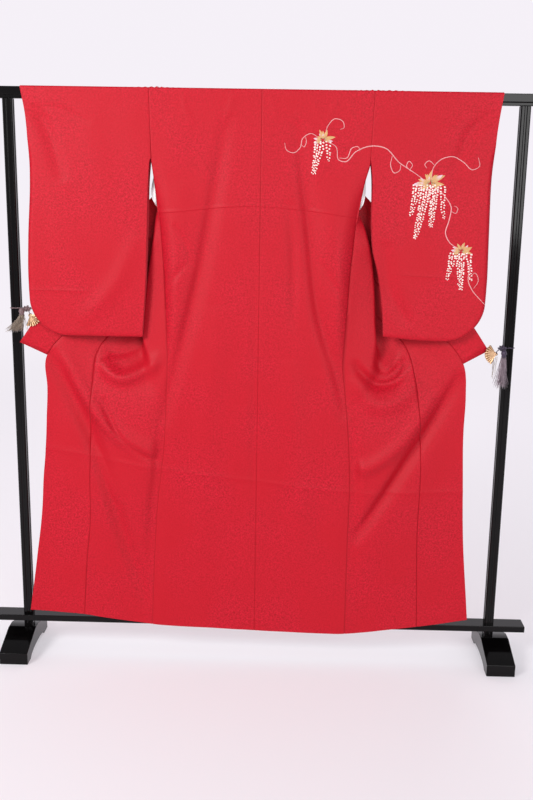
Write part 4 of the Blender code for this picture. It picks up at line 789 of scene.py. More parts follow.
# The collar: one long band round the neck, down both fronts and out to the clips. A shorter outer collar
# lies on it.
collarEdge = {  # the free edge, for each drop of its seam
    "drop": (0.02, 0.04, 0.07, 0.11, 0.15, 0.20, 0.26, 0.32, 0.38, 0.44, 0.50, 0.56, 0.62, 0.68, 0.73, 0.775),
    "out": (0.0725, 0.078, 0.096, 0.129, 0.163, 0.200, 0.245, 0.295, 0.345, 0.390, 0.435, 0.480, 0.530, 0.585,
            0.640, 0.692),
    "back": (0.030, 0.041, 0.054, 0.060, 0.058, 0.054, 0.049, 0.043, 0.037, 0.031, 0.024, 0.013, 0.001,
             -0.011, -0.0178, -0.0195),
    "fall": (0.059, 0.074, 0.096, 0.125, 0.156, 0.190, 0.235, 0.285, 0.335, 0.385, 0.435, 0.485, 0.537, 0.596,
             0.661, 0.739),
}
neckStations = {  # out along the neck and on to the shoulder: the free edge's out, and the columns' paths
    "out": (0.0, 0.030, 0.060, 0.0820, 0.0885, 0.0890, 0.0890, 0.0890, 0.0890),
    "free": (0.0, 0.024, 0.048, 0.0630, 0.0663, 0.0682, 0.0696, 0.0706, 0.0714),
    "path": ((0.0000, 0.0120, 0.0154, 0.0188, 0.0550), (0.0000, 0.0120, 0.0154, 0.0188, 0.0550),
             (0.0000, 0.0120, 0.0154, 0.0188, 0.0552), (0.0000, 0.0120, 0.0154, 0.0188, 0.0558),
             (0.0060, 0.0120, 0.0154, 0.0188, 0.0568), (0.0120, 0.0137, 0.0165, 0.0200, 0.0582),
             (0.0142, 0.0160, 0.0188, 0.0250, 0.0600), (0.0165, 0.0188, 0.0230, 0.0340, 0.0621),
             (0.0190, 0.0260, 0.0360, 0.0475, 0.0645)),
}
collarSet = {"columns": 20, "neckRows": 40, "rowStep": 0.0075, "rightShorter": 0.955, "outerEnd": 0.44,
             "outerGap": 0.0032, "rearStart": 0.0165, "band": 0.114, "folded": 1.17}


# It lies over the beam beside the neck. From there down it is straight across, from the front's
# edge, with a small round at the seam, to the free edge.
def collarHalf(side, drops, outside):
    spots = np.linspace(0.0, 8.0, collarSet["neckRows"])
    out, free = (np.interp(spots, np.arange(9.0), neckStations[key])[:, None] for key in ("out", "free"))
    marks = np.linspace(0.0, 4.0, collarSet["columns"] + 1)
    table = np.asarray(neckStations["path"])
    path = np.stack([np.interp(marks, np.arange(5.0), row) for row in
                     np.stack([np.interp(spots, np.arange(9.0), table[:, k]) for k in range(5)], 1)])
    corner = (out / clothSet["neck"]) ** 4
    if outside:  # it starts at the beam's rear edge, so the neck's top stays thin
        later = (1.0 - path / 0.055) * (1.0 - smoothStep(3.0, 7.0, spots))[:, None]
        path = path + collarSet["rearStart"] * later
    y, z = overBeam(path + 0.0003, 0.0010 * corner + outside)
    y = y + 0.011 * corner * np.clip((path - ridgeReach) / 0.040, 0.0, 1.0) ** 1.5
    inwards = (path - path[:, :1]) / (path[:, -1:] - path[:, :1])
    neck = place(side, out + (free - out) * inwards, y, z)
    ends = frontSection(side, drops, "seam")[0]
    shorter = collarSet["rightShorter"] if side == right else 1.0
    freeOut = column(collarEdge, "out", drops) * (1.0 + (shorter - 1.0) * smoothStep(0.3, 0.7, drops))
    fall = column(collarEdge, "fall", drops)
    freeEdge = place(side, freeOut, column(collarEdge, "back", drops),
                     clothHeight(clothSet["centre"] + side * freeOut, fall))
    seam = ends[:, 1]
    arriving, leaving = unit(seam - ends[:, 0]), unit(freeEdge - seam)
    bend = np.arccos(np.clip(np.sum(arriving * leaving, axis=1, keepdims=True), -1.0, 1.0))
    seam = seam + (arriving + leaving) * clothSet["wall"] * 0.25 * np.tan(np.minimum(bend, 1.9) / 2)
    seam = seam - leaving * 0.0008
    share = np.linspace(0.0, 1.0, collarSet["columns"] + 1)[None, :, None]
    return np.concatenate([neck, seam[:, None] + (freeEdge - seam)[:, None] * share])


def collarStrip(drops, outside=0.0):  # from one clip round the neck to the other
    return np.concatenate([collarHalf(left, drops, outside)[::-1], collarHalf(right, drops, outside)[1:]])


# The outer collar is the same strip, moved off the band along its normals.
def makeCollar(name, node, rows, outside):
    points = collarStrip(rows, outside)
    if outside:
        under = collarStrip(rows)
        normal = unit(np.cross(np.gradient(under, axis=0), np.gradient(under, axis=1)))
        for hanging in (slice(0, len(rows)), slice(-len(rows), None)):
            points[hanging] += normal[hanging] * outside
        points[:, 0] += 0.35 * (points[:, 1] - points[:, 0])
    length = np.cumsum(np.r_[0.0, np.linalg.norm(np.diff(points[:, 0], axis=0), axis=1)])
    width = 0.6 * collarSet["band"] * np.linspace(0.0, 1.0, points.shape[1])
    flat = np.stack(np.meshgrid(width, length), -1) + mapStart["collar"]
    # painted shade along the collar's seam
    seam = np.repeat(seamShade(width)[None], len(points), 0)
    piece = clothPiece(name, node, [(points, flat, seam, np.zeros_like(seam), 2)])


for side in (left, right):
    makeBody(side)
    makeOkumi(side)
    makeSleeve(side)
seamRows = np.arange(0.02, clothSet["collarEnd"] + 0.001, collarSet["rowStep"])
seamRows[-1] = clothSet["collarEnd"]
makeCollar("collarBand", "collar", seamRows, 0.0)
shortRows = seamRows[seamRows <= collarSet["outerEnd"] + 0.004]
makeCollar("outerCollar", "over_collar", shortRows, collarSet["outerGap"])
print("kimono made")


# The stand: a two-stepped beam on two fluted posts, a flat board, and two sloping feet.
standSet = {
    "beamUpper": 0.023, "beamLower": 0.0095, "beamLowerDepth": 0.022, "beamHalf": 0.795, "beamBevel": 0.0024,
    "postWidth": 0.028, "postOut": 0.711, "postChamfer": 0.003, "postBevel": 0.0006, "postGap": 0.0003,
    "flute": 0.008, "fluteDepth": 0.0015,
    "boardTop": 0.115, "boardThick": 0.019, "boardDepth": 0.054, "boardHalf": 0.8175, "boardBevel": 0.0016,
    "footWidth": 0.085, "footHalf": 0.127, "footOutset": 0.020, "footTop": 0.0695, "footTopHalf": 0.0195,
    "footToe": 0.0365, "footPad": 0.042, "footArch": 0.017, "footBevel": 0.0018,
}


def extruded(name, outline, axis, ends, node, bevel):  # an outline carried along X or Z, its edges rounded
    count = len(outline)
    level, (a, b) = np.repeat(ends, count), np.tile(np.asarray(outline, float).T, 2)
    faces = gridFaces(2, count, closed=True).tolist() + [list(range(count)), list(range(count, 2 * count))]
    piece = newPiece(name, np.stack((level, a, b) if axis == "X" else (a, b, level), -1), faces, [lacquer])
    weld(piece.data, 1e-6, recalculate=True)
    piece.data.set_sharp_from_angle(angle=math.radians(35))
    rounded = piece.modifiers.new("rounded edges", "BEVEL")
    rounded.width = bevel
    rounded.segments = 3
    rounded.limit_method = "ANGLE"
    rounded.angle_limit = math.radians(35)
    rounded.harden_normals = True
    fitPiece(piece, [node])


def makeStand(s):  # outlines carried along X, or along Z for the posts
    top, half, lower = beamSet["top"], beamSet["depth"] / 2, s["beamLowerDepth"] / 2
    step = top - s["beamUpper"]
    base = step - s["beamLower"]
    extruded("beam", [(half, step), (half, top), (-half, top), (-half, step), (-lower, step), (-lower, base),
                      (lower, base), (lower, step)], "X", (-s["beamHalf"], s["beamHalf"]), "top_beam",
             s["beamBevel"])
    half, flute, deep = s["postWidth"] / 2, s["flute"] / 2, s["fluteDepth"]
    quarter = np.array([(half, -half + s["postChamfer"]), (half, -flute), (half - deep, -flute + deep),
                        (half - deep, flute - deep), (half, flute), (half, half - s["postChamfer"])])
    turns = ((1, 0), (0, 1), (-1, 0), (0, -1))
    post = np.concatenate([quarter @ np.array(((c, d), (-d, c))) for c, d in turns])
    inner = s["footHalf"] - s["footPad"]
    arch = [(inner * math.sin(a), s["footArch"] * math.cos(a)) for a in np.linspace(-1.5708, 1.5708, 25)]
    foot = [(-s["footHalf"], 0.0)] + arch + [
        (s["footHalf"], 0.0), (s["footHalf"], s["footToe"]), (s["footTopHalf"], s["footTop"]),
        (-s["footTopHalf"], s["footTop"]), (-s["footHalf"], s["footToe"])]
    for side in (left, right):
        extruded("post" + sideNames[side], post + (side * s["postOut"], 0.0), "Z",
                 (s["footTop"] + s["postGap"], base - s["postGap"]), "post_" + cadSides[side], s["postBevel"])
        middle, wide = side * (s["postOut"] + s["footOutset"]), s["footWidth"] / 2
        extruded("foot" + sideNames[side], foot, "X", (middle - wide, middle + wide),
                 "foot_" + cadSides[side], s["footBevel"])
    deep, under = s["boardDepth"] / 2, s["boardTop"] - s["boardThick"]
    extruded("board", [(-deep, under), (deep, under), (deep, s["boardTop"]), (-deep, s["boardTop"])], "X",
             (-s["boardHalf"], s["boardHalf"]), "lower_board", s["boardBevel"])


makeStand(standSet)
print("stand made")


# Small parts

def shell(front, rear):  # two matching grids, joined round their borders
    rows, columns = front.shape[:2]
    index = np.arange(rows * columns).reshape(rows, columns)
    border = np.concatenate([index[0, :-1], index[:-1, -1], index[-1, :0:-1], index[:0:-1, 0]])
    after, other = np.roll(border, -1), rows * columns
    sides = np.stack([border, after, after + other, border + other], -1)
    return {"points": np.concatenate([front.reshape(-1, 3), rear.reshape(-1, 3)]),
            "faces": np.concatenate([gridFaces(rows, columns), gridFaces(rows, columns, other), sides])}


def revolved(profile, centre, axis, sides=24, finish=0):  # (radius, along) rows turned about Y or Z
    profile, around = np.asarray(profile, float), ringAngles(sides)
    a, b = profile[:, :1] * np.cos(around), profile[:, :1] * np.sin(around)
    along = np.repeat(profile[:, 1:], sides, 1)
    return {"points": np.stack((a, along, b) if axis == "Y" else (a, b, along), -1).reshape(-1, 3) + centre,
            "faces": gridFaces(len(profile), sides, closed=True), "finish": finish}


def pathLength(path):  # the distance along it, up to each point
    return np.cumsum(np.r_[0.0, np.linalg.norm(np.diff(path, axis=0), axis=1)])


def evenPath(points, step):  # a smooth curve through the points, at even steps
    points = np.asarray(points, float)
    if len(points) == 2:
        points = np.stack([points[0], points.mean(0), points[1]])
    length = pathLength(points)
    at = np.linspace(0.0, length[-1], max(4, int(length[-1] / step)))
    return np.stack([smoothCurve(length, points[:, k], at) for k in range(points.shape[1])], -1)


def frames(path, towards):  # two directions square to the path at each point
    along = unit(np.gradient(path, axis=0))
    across = unit(np.cross(along, towards))
    return across, np.cross(across, along)


def tube(path, radius, towards=(0.0, 1.0, 0.0), sides=8, finish=0):  # its tips run to a point
    across, upward = frames(path, towards)
    radius = np.broadcast_to(np.asarray(radius, float), len(path)).copy()
    radius[[0, -1]] = 1e-6
    around = ringAngles(sides)[None, :, None]
    ring = across[:, None] * np.cos(around) + upward[:, None] * np.sin(around)
    return {"points": (path[:, None] + ring * radius[:, None, None]).reshape(-1, 3),
            "faces": gridFaces(len(path), sides, closed=True), "finish": finish}


def cord(path, radius, towards=(0.0, 1.0, 0.0), pitch=0.009):  # three strands twisted together
    across, upward = frames(path, towards)
    turns = [(2 * math.pi * (pathLength(path) / pitch + strand / 3))[:, None] for strand in range(3)]
    return [tube(path + radius * 0.48 * (across * np.cos(turn) + upward * np.sin(turn)), radius * 0.56,
                 towards, 7) for turn in turns]


def joinedPiece(name, parts, finishes, nodes, tint=None):  # many small meshes as one
    counts = [part["points"].size // 3 for part in parts]
    faces = np.concatenate([part["faces"] + first for part, first in zip(parts, np.cumsum([0] + counts))])
    finish = np.concatenate([np.full(len(part["faces"]), part.get("finish", 0)) for part in parts])
    points = np.concatenate([part["points"].reshape(-1, 3) for part in parts])
    piece = newPiece(name, points, faces.tolist(), finishes)
    fitPiece(piece, nodes)
    mesh = piece.data
    mesh.polygons.foreach_set("material_index", finish.astype(np.int32))
    if "hollow" in parts[0]:
        values = np.concatenate([np.broadcast_to(part.get("hollow", 0.0), count)
                                 for part, count in zip(parts, counts)])
        mesh.attributes.new("hollow", "FLOAT", "POINT").data.foreach_set("value", values.astype(np.float32))
    if tint is not None:
        attribute = mesh.attributes.new("tint", "FLOAT_COLOR", "POINT")
        attribute.data.foreach_set("color", tint.astype(np.float32).ravel())
    weld(mesh, 1e-5, recalculate=True)


# The clips: a stamped gilt folding fan before the collar's corner and a plain jaw behind it.
clipSet = {
    left: {"pivot": (-0.6680, 1.0465), "opens": -48, "layer": -0.0178, "knot": (-0.6755, 1.0660),
           "head": (-0.6900, 1.0570), "threads": 0.058, "leans": -0.026,
           "silk": "beige", "cord": "cordMauve"},
    right: {"pivot": (0.6735, 0.9600), "opens": 186, "layer": -0.0195, "knot": (0.6900, 0.9770),
            "head": (0.6950, 0.9610), "threads": 0.102, "leans": -0.004,
            "silk": "mauve", "cord": "purple"},
}
fanSet = {"radius": 0.033, "spread": math.radians(126), "pleats": 9, "plate": 0.0016, "relief": 0.0019,
          "scallop": 0.085, "clearance": 0.0015, "pin": 0.0048, "wall": 0.002, "jaw": 0.0014, "grip": 0.2,
          "washer": 0.0004, "pinHead": 0.0012}


def onFan(row, f, ring, angle, y):  # a grid at shares of the fan's radius, turned about its pin
    x, z = (pin + f["radius"] * ring * way(angle) for pin, way in zip(row["pivot"], (np.cos, np.sin)))
    return np.stack([x, y + 0.0 * x, z], -1)


# The fan's pleats are a cosine of the angle that grows outwards, and its rim is scalloped with them.
# The jaw is a plain sector, and the pin is a turned profile through both.
def makeClip(side, row, f):
    opens, reach = math.radians(row["opens"]), f["wall"] / 2 + f["clearance"]
    front, rear = row["layer"] - reach, row["layer"] + reach
    share, ring = np.linspace(0.0, 1.0, f["pleats"] * 8 + 1)[None], np.linspace(0.10, 1.0, 26)[:, None]
    wave = 0.5 - 0.5 * np.cos(2 * math.pi * f["pleats"] * share)
    angle = opens + f["spread"] * (share - 0.5) + 0.0 * ring
    scallop = 1.0 - f["scallop"] * (1.0 - wave) * smoothStep(0.6, 1.0, ring)
    rise = f["relief"] * wave * ring + 0.0004 * bell(ring - 0.95, 0.025) - 0.00025 * (
        bell(ring - 0.80, 0.018) + bell(ring - 0.52, 0.018))
    fan = shell(onFan(row, f, ring * scallop, angle, front - f["plate"] - rise),
                onFan(row, f, ring * scallop, angle, front))
    dark = np.clip(1.0 - wave * 1.2, 0.0, 1.0) * (0.45 + 0.55 * ring) + 0.6 * bell(ring - 0.80, 0.022)
    fan["hollow"] = np.tile(dark.ravel(), 2)
    share, ring = np.linspace(-f["grip"], f["grip"], 9)[None], np.linspace(0.10, 0.95, 8)[:, None]
    jaw = shell(*(onFan(row, f, ring, opens + f["spread"] * share, y) for y in (rear, rear + f["jaw"])))
    start, r = front - f["plate"] - f["washer"], f["pin"]
    pin = revolved([(1e-6, start - f["pinHead"]), (r * 0.5, start - 0.0010), (r * 0.85, start - 0.0004),
                    (r, start + 0.0004), (r * 0.8, start + 0.0010), (r * 0.8, rear + 0.0008),
                    (r, rear + 0.0012), (r, rear + 0.0018), (1e-6, rear + 0.0018)],
                   (row["pivot"][0], 0.0, row["pivot"][1]), "Y")
    joinedPiece("clip" + sideNames[side], [fan, jaw, pin], [gilt], ["clip_" + cadSides[side]])


# The cords: once round the post, wound into a knot in front, and a leg down to the pin.
cordSet = {"size": 0.0015, "turn": 0.006, "slope": 0.1, "knot": (0.0118, 0.0066, 0.0085), "core": 0.0075,
           "coreShape": (1.3, 0.72, 0.9), "windings": ((0.5, 0.0, 3.0), (-0.6, 2.0, 2.5))}


def makeTie(side, row, s, f, k):  # a rounded square round the post, a wound ball and two legs
    size, turn = k["size"], k["turn"]
    reach = s["postWidth"] / 2 + s["postGap"] + size
    quarter = np.radians(45 + 90 * np.repeat(np.arange(4), 5))
    turned = quarter + np.radians(np.tile((-40, -20, 0, 20, 40), 4))
    x, y = (np.copysign(reach - turn, way(quarter)) + turn * way(turned) for way in (np.cos, np.sin))
    loop = np.stack([side * s["postOut"] + x, y, row["knot"][1] - k["slope"] * (y + reach)], -1)
    parts = cord(evenPath(np.concatenate([loop, loop[:1]]), 0.0012), size, (0.0, 0.0, 1.0))
    knot = np.array((row["knot"][0], -reach - turn, row["knot"][1]))
    core = revolved([(k["core"] * math.cos(a), k["core"] * math.sin(a)) for a in np.linspace(-1.57, 1.57, 9)],
                    (0.0, 0.0, 0.0), "Z")
    core["points"] = core["points"] * k["coreShape"] + knot
    parts.append(core)
    t = np.linspace(0.0, 1.0, 140)
    for lean, phase, turns in k["windings"]:  # round a ball, which is then tilted
        up, around = np.radians(-62 + 124 * t), 2 * math.pi * turns * t + phase
        a, b, d = np.sin(up), np.cos(up) * np.cos(around), np.cos(up) * np.sin(around)
        c, e = math.cos(lean), math.sin(lean)
        tilted = np.stack([a * c - d * e, b, a * e + d * c], -1)
        parts += cord(knot + tilted * k["knot"], size * 0.85, (0.3, 1.0, 0.2))
    ahead = row["layer"] - f["wall"] / 2 - f["clearance"] - f["plate"] - f["washer"] - f["pinHead"] - size
    pin = np.array((row["pivot"][0], ahead, row["pivot"][1]))
    parts += cord(evenPath([knot, pin + (0.0, 0.0, turn), pin], 0.001), size * 0.9)
    start = np.array((side * (s["postOut"] - 0.012), -reach, row["knot"][1]))
    parts += cord(evenPath([start, knot], 0.001), size, (0.0, 0.0, 1.0))
    joinedPiece("tie" + sideNames[side], parts, [silks[row["cord"]]], ["tie_" + cadSides[side]])


# The tassels: a wound head, a bound neck, and silk threads that hang and splay from it.
tasselSet = {
    "head": (0.0085, 0.011), "threads": 130, "thread": 0.00046, "spread": 2.9, "root": 0.0066,
    "sway": 0.0042, "ahead": 0.0124, "loose": 7,
    "profile": ((0.0, 1.0), (0.55, 0.93), (0.88, 0.62), (1.0, 0.2), (0.93, -0.15), (0.66, -0.42),
                (0.72, -0.55), (0.9, -0.8), (0.0, -0.8)),
}


def makeTassel(side, row, s, t):  # threads start on a disc and fall, each to its own tip
    random = np.random.default_rng(40 + side)
    x, z = row["head"]
    y = -s["postWidth"] / 2 - t["ahead"]
    r, h = t["head"]
    profile = np.array(t["profile"]) * t["head"]
    head = revolved(profile, (x, y, z), "Z", 40, finish=1)
    around = np.arctan2(head["points"][:, 1] - y, head["points"][:, 0] - x)
    ribs = 0.00022 * np.sin(20 * around)[:, None]
    head["points"][:, :2] += ribs * np.stack([np.cos(around), np.sin(around)], -1)
    parts, turn = [head], np.linspace(0.0, 2 * math.pi, 49)
    for level in (-0.36, -0.45, -0.54):
        ring = np.stack([r * 0.72 * np.cos(turn), r * 0.72 * np.sin(turn), h * level + 0 * turn], -1)
        parts.append(tube(ring + (x, y, z), 0.0006, (0.0, 0.0, 1.0), 6, finish=1))
    count, loose = t["threads"], t["loose"]
    radius = t["root"] * np.sqrt((np.arange(count) + 0.5) / count)
    angle = np.arange(count) * math.radians(137.508)  # the turn that spreads points evenly over a disc
    spot = np.stack([radius * np.cos(angle), radius * np.sin(angle), 0 * radius], -1)
    neck = np.array((x, y, z - 0.004))
    root = neck + spot
    fall = row["threads"] * random.uniform(0.82, 1.0, count)
    tip = neck + spot * (t["spread"], 1.1, 1.0) * random.uniform(0.5, 1.5, (count, 1))
    tip[:, 2] -= fall
    tip[:, 0] += row["leans"] * random.uniform(0.1, 1.7, count)
    if side == right:  # a few loose threads hang beside the tassel, off the clip
        root[:loose] = (row["pivot"][0], y + 0.004, row["pivot"][1] - 0.006)
        root[:loose, 0] += random.uniform(-0.010, 0.006, loose)
        tip[:loose] = root[:loose] - np.stack([random.uniform(-0.004, 0.006, loose), np.zeros(loose),
                                               random.uniform(0.045, 0.075, loose)], -1)
    share = np.linspace(0.0, 1.0, 9)
    sway = random.uniform(-t["sway"], t["sway"], (count, 2)) * (1.0, 0.35)
    for k in range(count):
        bend = np.sin(math.pi * share)[:, None] * np.append(sway[k], 0.0)
        flare = np.append((tip[k] - root[k])[:2], 0.0) * (share ** 1.8 - share)[:, None]
        path = root[k] + (tip[k] - root[k]) * share[:, None] + bend + flare
        parts.append(tube(path, t["thread"] * (1 - 0.3 * share), (0.2, 1.0, 0.0), 4,
                          finish=2 if side == right and k < loose else 0))
    hook = np.array((x, y + 0.004, max(row["knot"][1], z + 0.008)))
    parts += cord(evenPath([np.array((x, y, z + 0.006)), hook], 0.001), 0.0013)
    finishes = [silks[key] for key in (row["silk"], row["cord"], "beige")]
    joinedPiece("tassel" + sideNames[side], parts, finishes, ["tassel_" + cadSides[side]])


# Wisteria in floss silk on the right shoulder and sleeve: a free arrangement of the traditional motif.
# Every shape is made flat in (x, z), then laid on the cloth and raised by its own relief.
flossSet = {
    "vine": "#E0A0A0", "vineWidth": 0.0030, "leaf": "#CF9F66", "leafTip": "#DDBECF", "leafBase": "#8D7A5C",
    "petal": "#F8F2EA", "petalHeart": "#E9C3BC", "petalSize": 0.0066, "step": 0.0063, "rise": 0.0008,
}
# Tufts: where the leaves spring from, the leaves' headings and lengths, and the racemes, each with its
# start beside the tuft, its fall, its lean, its columns of petals and its width.
tufts = (
    {"at": (0.160, 1.548), "leaves": ((158, 0.030), (122, 0.026), (96, 0.022), (58, 0.028), (24, 0.034),
     (200, 0.024), (-14, 0.026)),
     "racemes": ((-0.010, 0.082, -0.014, 4, 0.0215), (0.014, 0.046, 0.003, 2, 0.0105))},
    {"at": (0.458, 1.436), "leaves": ((184, 0.044), (162, 0.036), (138, 0.034), (112, 0.030), (88, 0.036),
     (62, 0.034), (38, 0.040), (14, 0.044), (-12, 0.036), (208, 0.032), (-34, 0.028)),
     "racemes": ((-0.036, 0.080, -0.012, 3, 0.0165), (-0.011, 0.142, -0.024, 4, 0.0225),
      (0.013, 0.108, -0.006, 4, 0.0205), (0.036, 0.086, 0.006, 2, 0.0120))},
    {"at": (0.553, 1.252), "leaves": ((178, 0.032), (152, 0.026), (118, 0.024), (76, 0.026), (44, 0.028),
     (16, 0.036), (-8, 0.034), (204, 0.024)),
     "racemes": ((-0.022, 0.070, -0.012, 3, 0.0155), (0.000, 0.098, 0.005, 4, 0.0200),
      (0.023, 0.072, 0.010, 2, 0.0115))},
)
# Stems and curling tendrils: a width, and points in (x, z).
vines = (
    (1.0, ((0.172, 1.543), (0.196, 1.530), (0.206, 1.494), (0.222, 1.490), (0.252, 1.518), (0.292, 1.533),
     (0.332, 1.528), (0.372, 1.490), (0.410, 1.466), (0.446, 1.442))),
    (0.8, ((0.206, 1.500), (0.226, 1.500), (0.242, 1.528), (0.258, 1.530), (0.262, 1.520))),
    (0.8, ((0.166, 1.552), (0.172, 1.584), (0.192, 1.604), (0.214, 1.596), (0.216, 1.580), (0.206, 1.576))),
    (0.8, ((0.150, 1.552), (0.126, 1.564), (0.104, 1.550), (0.098, 1.526), (0.080, 1.512), (0.060, 1.520),
     (0.055, 1.538))),
    (0.7, ((0.112, 1.556), (0.114, 1.538), (0.108, 1.528), (0.102, 1.534))),
    (0.8, ((0.352, 1.508), (0.348, 1.482), (0.360, 1.462), (0.374, 1.470), (0.376, 1.486))),
    (0.8, ((0.404, 1.468), (0.392, 1.482), (0.398, 1.494), (0.408, 1.484), (0.402, 1.472))),
    (0.9, ((0.462, 1.446), (0.466, 1.478), (0.486, 1.500), (0.520, 1.508), (0.548, 1.494), (0.574, 1.474),
     (0.592, 1.484), (0.588, 1.506))),
    (0.7, ((0.470, 1.484), (0.452, 1.496), (0.442, 1.486), (0.448, 1.476))),
    (1.0, ((0.478, 1.424), (0.502, 1.400), (0.520, 1.372), (0.516, 1.336), (0.508, 1.300), (0.520, 1.276),
     (0.546, 1.258))),
    (0.7, ((0.518, 1.362), (0.534, 1.356), (0.538, 1.370), (0.528, 1.376))),
    (0.9, ((0.564, 1.244), (0.580, 1.212), (0.578, 1.170), (0.592, 1.142), (0.612, 1.120), (0.628, 1.104))),
    (0.7, ((0.578, 1.178), (0.596, 1.192), (0.606, 1.172), (0.594, 1.148))),
)


def onCloth(flat, rise):  # laid on the sleeve's or the back's surface, then raised off it
    x, z = flat[..., 0], flat[..., 1]
    out, drop = x - clothSet["centre"], dropAt(x, z)
    bottom = sleeveHeight(right, out, sleeveSet["length"])
    sleeveDrop = (ridgeZ - z) * sleeveSet["length"] / (ridgeZ - bottom)
    onSleeve = out > sideEdge(right, np.minimum(drop, clothSet["armhole"]))
    y = np.where(onSleeve, sleeveDepth(right, out, sleeveDrop, -sleeveLayers(sleeveDrop)[1]),
                 backDepth(right, out, drop))
    return np.stack([x, y - clothSet["wall"] / 2 - rise, z], -1)


def stamped(template, centres, headings, sizes, bends=None):  # a flat shape copied to many places
    u, v = template["flat"][:, 0], template["flat"][:, 1]
    c, d = np.cos(headings)[:, None], np.sin(headings)[:, None]
    long, wide = sizes[:, :1], sizes[:, 1:]
    v = v * wide + (0.0 if bends is None else bends[:, None] * u ** 2)
    flat = centres[:, None] + np.stack([u * long * c - v * d, u * long * d + v * c], -1)
    faces = template["faces"][None] + (np.arange(len(centres)) * len(template["flat"]))[:, None, None]
    return flat.reshape(-1, 2), faces.reshape(-1, 4)


def leafShape():  # pointed both ways, with a midrib pressed in
    t, s = np.meshgrid(np.linspace(0.0, 1.0, 13), np.linspace(-1.0, 1.0, 9), indexing="ij")
    half = 0.5 * np.sin(math.pi * np.clip(t, 0.0, 1.0) ** 0.85) ** 0.9 + 1e-4
    rise = np.sqrt(np.clip(1 - s ** 2, 0, 1)) * (1 - 0.55 * bell(s, 0.16)) * (0.4 + 0.6 * np.sin(math.pi * t))
    return {"flat": np.stack([t, s * half], -1).reshape(-1, 2), "rise": rise.ravel() - 0.25,
            "along": t.ravel(), "faces": gridFaces(13, 9)}


def petalShape():  # a round dome
    ring, turn = np.meshgrid(np.array((0.02, 0.45, 0.8, 1.0)), ringAngles(10), indexing="ij")
    return {"flat": 0.5 * np.stack([ring * np.cos(turn), ring * np.sin(turn)], -1).reshape(-1, 2),
            "rise": (np.sqrt(np.clip(1 - ring ** 2, 0, 1)) * 1.3 - 0.25).ravel(),
            "faces": gridFaces(4, 10, closed=True)}


# Vines are domed ribbons along their paths. Each tuft's leaves are fanned round it, and its racemes
# are columns of petals that draw together towards the tip.
def makeWisteria(f):
    random = np.random.default_rng(12)
    parts, tints = [], []
    colour = {key: np.array(hexColour(value)) for key, value in f.items() if isinstance(value, str)}
    across = np.linspace(-1.0, 1.0, 7)
    for wide, line in vines:
        path = evenPath(line, 0.0016)
        heading = unit(np.gradient(path, axis=0))
        swell = np.sqrt(np.sin(math.pi * np.clip(np.linspace(0.0, 1.0, len(path)), 0.02, 0.98)))
        half = (f["vineWidth"] / 2 * wide * (0.35 + 0.65 * swell))[:, None]
        side = np.stack([-heading[:, 1], heading[:, 0]], -1) * half
        flat = path[:, None] + side[:, None] * across[None, :, None]
        rise = f["rise"] * (np.sqrt(1 - across ** 2) * 1.1 - 0.25)[None] + 0 * flat[..., 0]
        parts.append({"points": onCloth(flat, rise), "faces": gridFaces(len(path), 7)})
        tints.append(np.repeat(colour["vine"][None] * random.uniform(0.93, 1.05), rise.size, 0))
    leaf, petal = leafShape(), petalShape()
    leafPoints, petalPoints = len(leaf["rise"]), len(petal["rise"])
    for tuft in tufts:
        spot = np.array(tuft["at"])
        headings, long = np.array(tuft["leaves"]).T
        headings = np.radians(headings)
        headings = np.concatenate([headings, headings[:-1] + np.diff(headings) / 2 + 0.2])
        long = np.concatenate([long, 0.62 * long[1:]])
        count = len(long)
        spring = spot + np.stack([0.004 * np.cos(headings), 0.003 * np.sin(headings)], -1)
        spring += random.normal(0.0, 0.0025, spring.shape)
        flat, faces = stamped(leaf, spring, headings + random.normal(0.0, 0.12, count),
                              np.stack([long * random.uniform(0.72, 1.0, count), long * 0.30], -1),
                              random.uniform(-6.0, 6.0, count) * long ** 2)
        lift = np.repeat(random.uniform(0.1, 0.8, count), leafPoints)
        rise = f["rise"] * (np.tile(leaf["rise"], count) + lift)
        parts.append({"points": onCloth(flat, rise), "faces": faces})
        along = np.tile(leaf["along"], count)[:, None]
        shade = colour["leafBase"] + (colour["leaf"] - colour["leafBase"]) * smoothStep(0.0, 0.3, along)
        tipped = np.repeat(random.uniform(0.0, 1.0, count) > 0.6, leafPoints)[:, None]
        tints.append(shade + (colour["leafTip"] - shade) * smoothStep(0.35, 0.9, along) * tipped)
        for start, fall, lean, columns, wide in tuft["racemes"]:
            share, at = np.meshgrid(np.linspace(0.0, 1.0, int(fall / f["step"])),
                                    np.linspace(-1.0, 1.0, columns), indexing="ij")
            stagger = 0.5 * f["step"] * (np.arange(columns) % 2)
            rows = spot + np.stack([
                start + lean * share ** 1.4 + at * wide / 2 * (1.0 - 0.62 * share ** 1.5),
                -0.005 - fall * share - stagger - 0.0016 * np.abs(at)], -1)
            rows = rows.reshape(-1, 2) + random.normal(0.0, 0.0004, (share.size, 2))
            rows = rows + random.normal(0.0, 0.0009, rows.shape)
            heads = np.radians(-90 + 74 * at.ravel()) + random.normal(0.0, 0.25, share.size)
            size = f["petalSize"] * (1.0 - 0.35 * share.ravel()) * random.uniform(0.85, 1.10, share.size)
            flat, faces = stamped(petal, rows, heads, np.stack([size, size * 0.80], -1))
            lift = np.repeat(random.uniform(0, 0.5, len(rows)), petalPoints)
            rise = f["rise"] * (np.tile(petal["rise"], len(rows)) + lift)
            parts.append({"points": onCloth(flat, rise), "faces": faces})
            heart = np.repeat(random.uniform(0.0, 0.75, len(rows)), petalPoints)[:, None]
            tints.append(colour["petal"] + (colour["petalHeart"] - colour["petal"]) * heart)
    joinedPiece("wisteria", parts, [floss], [], tint=np.concatenate(tints))


